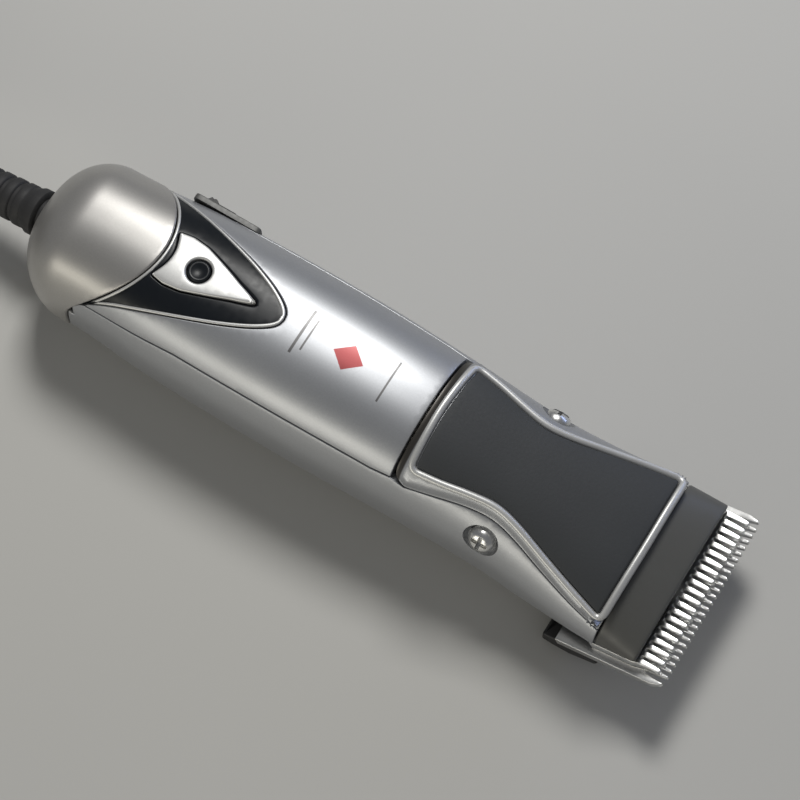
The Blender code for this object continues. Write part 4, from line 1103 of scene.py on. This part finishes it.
# %% Casing screws
SCREW_X, SCREW_LEAN = 0.1358, math.radians(32)
for name, way in (("far", 1), ("near", -1)):
    base = Vector((SCREW_X, way * 0.0176, 0.0276))
    out = Vector((0, way * math.cos(SCREW_LEAN), math.sin(SCREW_LEAN)))
    dish = [(0, -0.0012), (0.0036, -0.0012), (0.0040, -0.0009), (0.0044, 0.0), (0.0062, 0.010),
            (0, 0.010)]
    carve(lower, lathe(dish, base, out, 64))
    carve(lower, lathe([(0, -0.010), (0.0017, -0.010), (0.0017, 0), (0, 0)], base, out, 32))
    add_crosshead(f"waist_screw_{name}", (0.0034, -0.0008, 0.0021), (0.0013, -0.0070), base, out,
                  "ground_steel", "handle", f"side_screw_{name}")
for number, x in ((1, 0.0260), (2, 0.1160)):
    seat = [(0, -0.01), (0.0032, -0.01), (0.0032, 0.0012), (0.0017, 0.0012), (0.0017, 0.010),
            (0, 0.010)]
    carve(lower, lathe(seat, (x, 0, 0), (0, 0, 1), 40))
    add_crosshead(f"belly_screw_{number}", (0.0028, -0.0009, -0.0002), (0.0013, -0.0055),
                  (x, 0, 0), (0, 0, -1), "dark_steel", "handle", f"casing_screw_{number}")
print("screws done")


# %% [markdown]
# ## The cord
# A corded clipper has about three metres of round mains lead. It leaves the tail through a ribbed
# rubber sleeve, sinks to the table within a few centimetres and is put away behind the tail as a
# slim hank: twelve round-ended turns, three side by side and four deep, held by a tie. The plug
# lies on top of it.

# %% Cord route
CORD_RADIUS = 0.00325
CORD_WIDTH = 2 * CORD_RADIUS
RELIEF_LENGTH, RELIEF_DROOP = 0.046, math.radians(8)
MOUTH = Vector((0, 0, 0.0200))
RELIEF_OUT = Vector((-math.cos(RELIEF_DROOP), 0, -math.sin(RELIEF_DROOP)))
HANK_INNER_BEND, HANK_COLUMNS, HANK_LAYERS, HANK_STRAIGHT = 0.0195, 3, 4, 0.036
HANK_START = Vector((-0.0993, -0.0113, 0))
PLUG_BEND = 0.020
TIE_BACK, TIE_THICK = 0.0045, 0.0008
HANK_OUTER = HANK_INNER_BEND + (HANK_COLUMNS - 1) * CORD_WIDTH + CORD_RADIUS
HANK_LOW = TIE_THICK + 2 * GAP
HANK_HIGH = HANK_LOW + HANK_LAYERS * CORD_WIDTH
SHIFT_FROM = -30


def ease(share):
    share = min(max(share, 0), 1)
    return share * share * (3 - 2 * share)


def swerve(start, end, steps=6):
    """Points of two equal bends that carry the cord sideways from start to end."""
    ahead, aside = start.x - end.x, end.y - start.y
    radius = (ahead**2 + aside**2) / (4 * aside)
    sweep = math.asin(ahead / (2 * radius))
    points = []
    for i in range(1, 2 * steps + 1):
        turn = sweep * min(i, 2 * steps - i) / steps
        forward, across = radius * math.sin(turn), radius * (1 - math.cos(turn))
        if i > steps:
            forward, across = ahead - forward, aside - across
        height = start.z + (end.z - start.z) * ease(forward / ahead)
        points.append(Vector((start.x - forward, start.y + across, height)))
    return points


def winding():
    """(bend radius, height) of each turn, in the order in which they are wound."""
    columns = [HANK_INNER_BEND + CORD_WIDTH * i for i in reversed(range(HANK_COLUMNS))]
    turns = []
    for layer in range(HANK_LAYERS):
        order = columns if layer % 2 == 0 else columns[::-1]
        turns += [(radius, HANK_LOW + CORD_RADIUS + CORD_WIDTH * layer) for radius in order]
    return turns


def straight(y, height, way, count=5):
    """A straight run of the hank, heading to its far end (-1) or back (+1)."""
    places = [HANK_STRAIGHT * i / count for i in range(1, count + 1)]
    begin = HANK_START.x if way < 0 else HANK_START.x - HANK_STRAIGHT
    return [Vector((begin + way * place, HANK_START.y + y, height)) for place in places]


def bend(x, first, radius_and_height, steps=16):
    """A half round at one end of the hank. Its radius and height may change on the way."""
    points = []
    for i in range(1, steps + 1):
        degrees = first + 180 * i / steps
        radius, height = radius_and_height(degrees)
        turn = math.radians(degrees)
        points.append(Vector((x + radius * math.cos(turn),
                              HANK_START.y + radius * math.sin(turn), height)))
    return points


start = MOUTH + RELIEF_OUT * (RELIEF_LENGTH + GAP)
join = HANK_START + Vector((0, HANK_OUTER - CORD_RADIUS, HANK_LOW + CORD_RADIUS))
onward = start + RELIEF_OUT * 0.006
route = [start, start + RELIEF_OUT * 0.003, onward, *swerve(onward, join)]
turns = winding()
far_end = HANK_START.x - HANK_STRAIGHT
for number, (radius, height) in enumerate(turns):
    after = turns[min(number + 1, len(turns) - 1)]

    def shifted(degrees, here=(radius, height), there=after):
        share = ease((degrees - SHIFT_FROM) / (90 - SHIFT_FROM))
        return tuple(a + (b - a) * share for a, b in zip(here, there))

    route += straight(radius, height, -1)
    route += bend(far_end, 90, lambda degrees, turn=(radius, height): turn)
    route += straight(-radius, height, 1)
    route += bend(HANK_START.x, -90, shifted)

last_radius, last_height = turns[-1]
top_height = HANK_HIGH + GAP + CORD_RADIUS
for point in straight(last_radius, last_height, -1, 12):
    gone = (HANK_START.x - point.x - 2 * TIE_BACK) / (HANK_STRAIGHT - 2 * TIE_BACK)
    route.append(Vector((point.x, point.y, last_height + (top_height - last_height) * ease(gone))))
route += bend(far_end, 90, lambda degrees: (
    last_radius + (PLUG_BEND - last_radius) * ease((degrees - 90) / 180), top_height))
plug_start = Vector((far_end, HANK_START.y - PLUG_BEND, top_height))
route.append(plug_start + Vector((0.001, 0, 0)))
cord_length = sum((b - a).length for a, b in zip(route, route[1:]))
print("cord length", round(cord_length, 3), "points", len(route))

# %% [markdown]
# ## Cord, sleeve, tie and plug
# The cord is a curve with a round bevel, which stays smooth through every bend. The sleeve is turned
# with ribs and grooves, and the tie and the plug are filled outlines with rounded edges.

# %% Cord, sleeve, tie and plug
line = bpy.data.curves.new("mains_lead", "CURVE")
line.dimensions = "3D"
line.bevel_depth = CORD_RADIUS
line.bevel_resolution = 5
line.use_fill_caps = True
spline = line.splines.new("POLY")
spline.points.add(len(route) - 1)
for point, spot in zip(spline.points, route):
    point.co = (*world(spot), 1)
spline.use_smooth = True
line.materials.append(FINISHES["black_rubber"])
cord = bpy.data.objects.new("mains_lead", line)
bpy.context.scene.collection.objects.link(cord)
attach(cord, "handle")
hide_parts("cord_lead", "cord_coil")

relief = [(0, 0.0090), (0.0046, 0.0090), (0.0046, -0.0018), (0.0058, -0.0020), (0.0062, -0.0024),
          (0.0062, -0.0044), (0.0058, -0.0050)]
RIBS = 9
for i in range(RIBS):
    near = 0.0064 + i * 0.0038
    radius = 0.0057 - 0.0012 * i / RIBS
    groove = radius - 0.0007
    relief += [(radius - 0.0002, -near), (radius, -near - 0.0003), (radius, -near - 0.0022),
               (radius - 0.0002, -near - 0.0025), (groove, -near - 0.0027),
               (groove, -near - 0.0036)]
relief += [(0.0044, -RELIEF_LENGTH + 0.0040), (0.0042, -RELIEF_LENGTH), (0, -RELIEF_LENGTH)]
piece("cord_sleeve", lathe(relief, MOUTH, -RELIEF_OUT, 48), "black_rubber", "handle",
      "strain_relief")

hole = HANK_INNER_BEND - CORD_RADIUS - 3 * GAP
tie_section = [(HANK_OUTER + GAP, HANK_LOW - GAP), (HANK_OUTER + GAP, HANK_HIGH + GAP),
               (hole, HANK_HIGH + GAP), (hole, HANK_LOW - GAP)]
tie_inner = softened(tie_section, 0.0006, 4)
tie_outer = softened(outset(tie_section, TIE_THICK), 0.0006, 5)
tie_place = Matrix.Translation(world(HANK_START - Vector((TIE_BACK, 0, 0))))
TIE_HALF = 0.0035
tie_mesh = shell(
    tie_outer, [tie_inner], 0.0008, 0.00018,
    lambda a, b, share: tie_place @ Vector((TIE_HALF - 0.0003 * quarter_round(share), a, b)),
    lambda a, b, share: tie_place @ Vector((0.0003 * quarter_round(share) - TIE_HALF, a, b)),
)
tie = piece("cord_strap", tie_mesh, "black_plastic", "handle", "cord_tie")

PLUG = Matrix.Translation(world(plug_start))
plug_half = [(0, 0.0034), (0.0080, 0.0040), (0.0150, 0.0120), (0.0200, 0.0137),
             (0.0330, 0.0128), (0.0345, 0.0110)]
plug_outline = softened(mirrored(plug_half), 0.0006, 6)
plug_mesh = shell(
    plug_outline, [], 0.0014, 0.0014,
    lambda x, y, share: PLUG @ Vector((x, y, 0.0060 - 0.0014 * quarter_round(share))),
    lambda x, y, share: PLUG @ Vector((x, y, -0.0032 + 0.0014 * quarter_round(share))),
)
plug = piece("plug_shell", plug_mesh, "black_plastic", "handle", "plug_body")
for name, y in (("far", 0.0093), ("near", -0.0093)):
    profile = [(0, 0.0182), (0.0012, 0.0182), (0.0018, 0.0178), (0.0020, 0.0170), (0.0020, 0),
               (0, 0)]
    base = PLUG @ Vector((0.0348, y, 0.0014)) - world((0, 0, 0))
    prong = lathe(profile, base, (1, 0, 0), 32)
    piece(f"plug_prong_{name}", prong, "ground_steel", "handle", f"plug_pin_{name}")
tuple(world(start))
print("plug rests at", round(top_height, 4))


# %% [markdown]
# ## The table
# The clipper lies on a plain pale table. One large square is enough, and a slow noise keeps its tint
# from looking printed.

# %% Table
table_mesh = bpy.data.meshes.new("table_top")
TABLE_HALF = 3.0
corners = [(x * TABLE_HALF, y * TABLE_HALF, 0) for x, y in ((-1, -1), (1, -1), (1, 1), (-1, 1))]
table_mesh.from_pydata(corners, [], [(0, 1, 2, 3)])
table = bpy.data.objects.new("table_top", table_mesh)
bpy.context.scene.collection.objects.link(table)
table_finish = Finish("table_finish", 0.55)
blotch = table_finish.noise(5, 3)
table_tint = table_finish.mix(blotch, (0.46, 0.455, 0.435), (0.50, 0.495, 0.475))
table_mesh.materials.append(table_finish.set(table_tint, blotch * 0.1 + 0.5))


# %% [markdown]
# ## Lamps
# A small lamp high behind the clipper gives the light band along its top and the shadow on its near
# side. A weak blue strip runs along the far flank, and a warm card lights the near side.

# %% Lamps
def lamp(name, place, aim, size, power, colour, depth=None):
    light = bpy.data.lights.new(name, "AREA")
    light.shape = "RECTANGLE"
    light.size = size
    light.size_y = depth or size
    light.energy = power
    light.color = colour
    made = bpy.data.objects.new(name, light)
    made.location = place
    made.rotation_euler = (Vector(place) - Vector(aim)).to_track_quat("Z", "Y").to_euler()
    bpy.context.scene.collection.objects.link(made)
    return made


lamp("key_lamp", (-0.25, 0.52, 0.92), (0, 0, 0.02), 0.30, 7.3, (1.0, 0.99, 0.96))
lamp("flank_strip", (0.35, 0.60, 0.25), (0.02, 0, 0.02), 0.60, 0.7, (0.50, 0.62, 1.0), 0.15)
lamp("near_card", (-0.12, -0.75, 0.22), (-0.02, 0, 0.02), 0.80, 1.9, (1.0, 0.96, 0.84), 0.25)
sky = bpy.data.worlds.new("studio")
sky.use_nodes = True
sky.node_tree.nodes["Background"].inputs["Color"].default_value = (0.80, 0.82, 0.86, 1)
sky.node_tree.nodes["Background"].inputs["Strength"].default_value = 0.19
bpy.context.scene.world = sky
bpy.context.scene.view_settings.view_transform = "Standard"
print("lamps set")
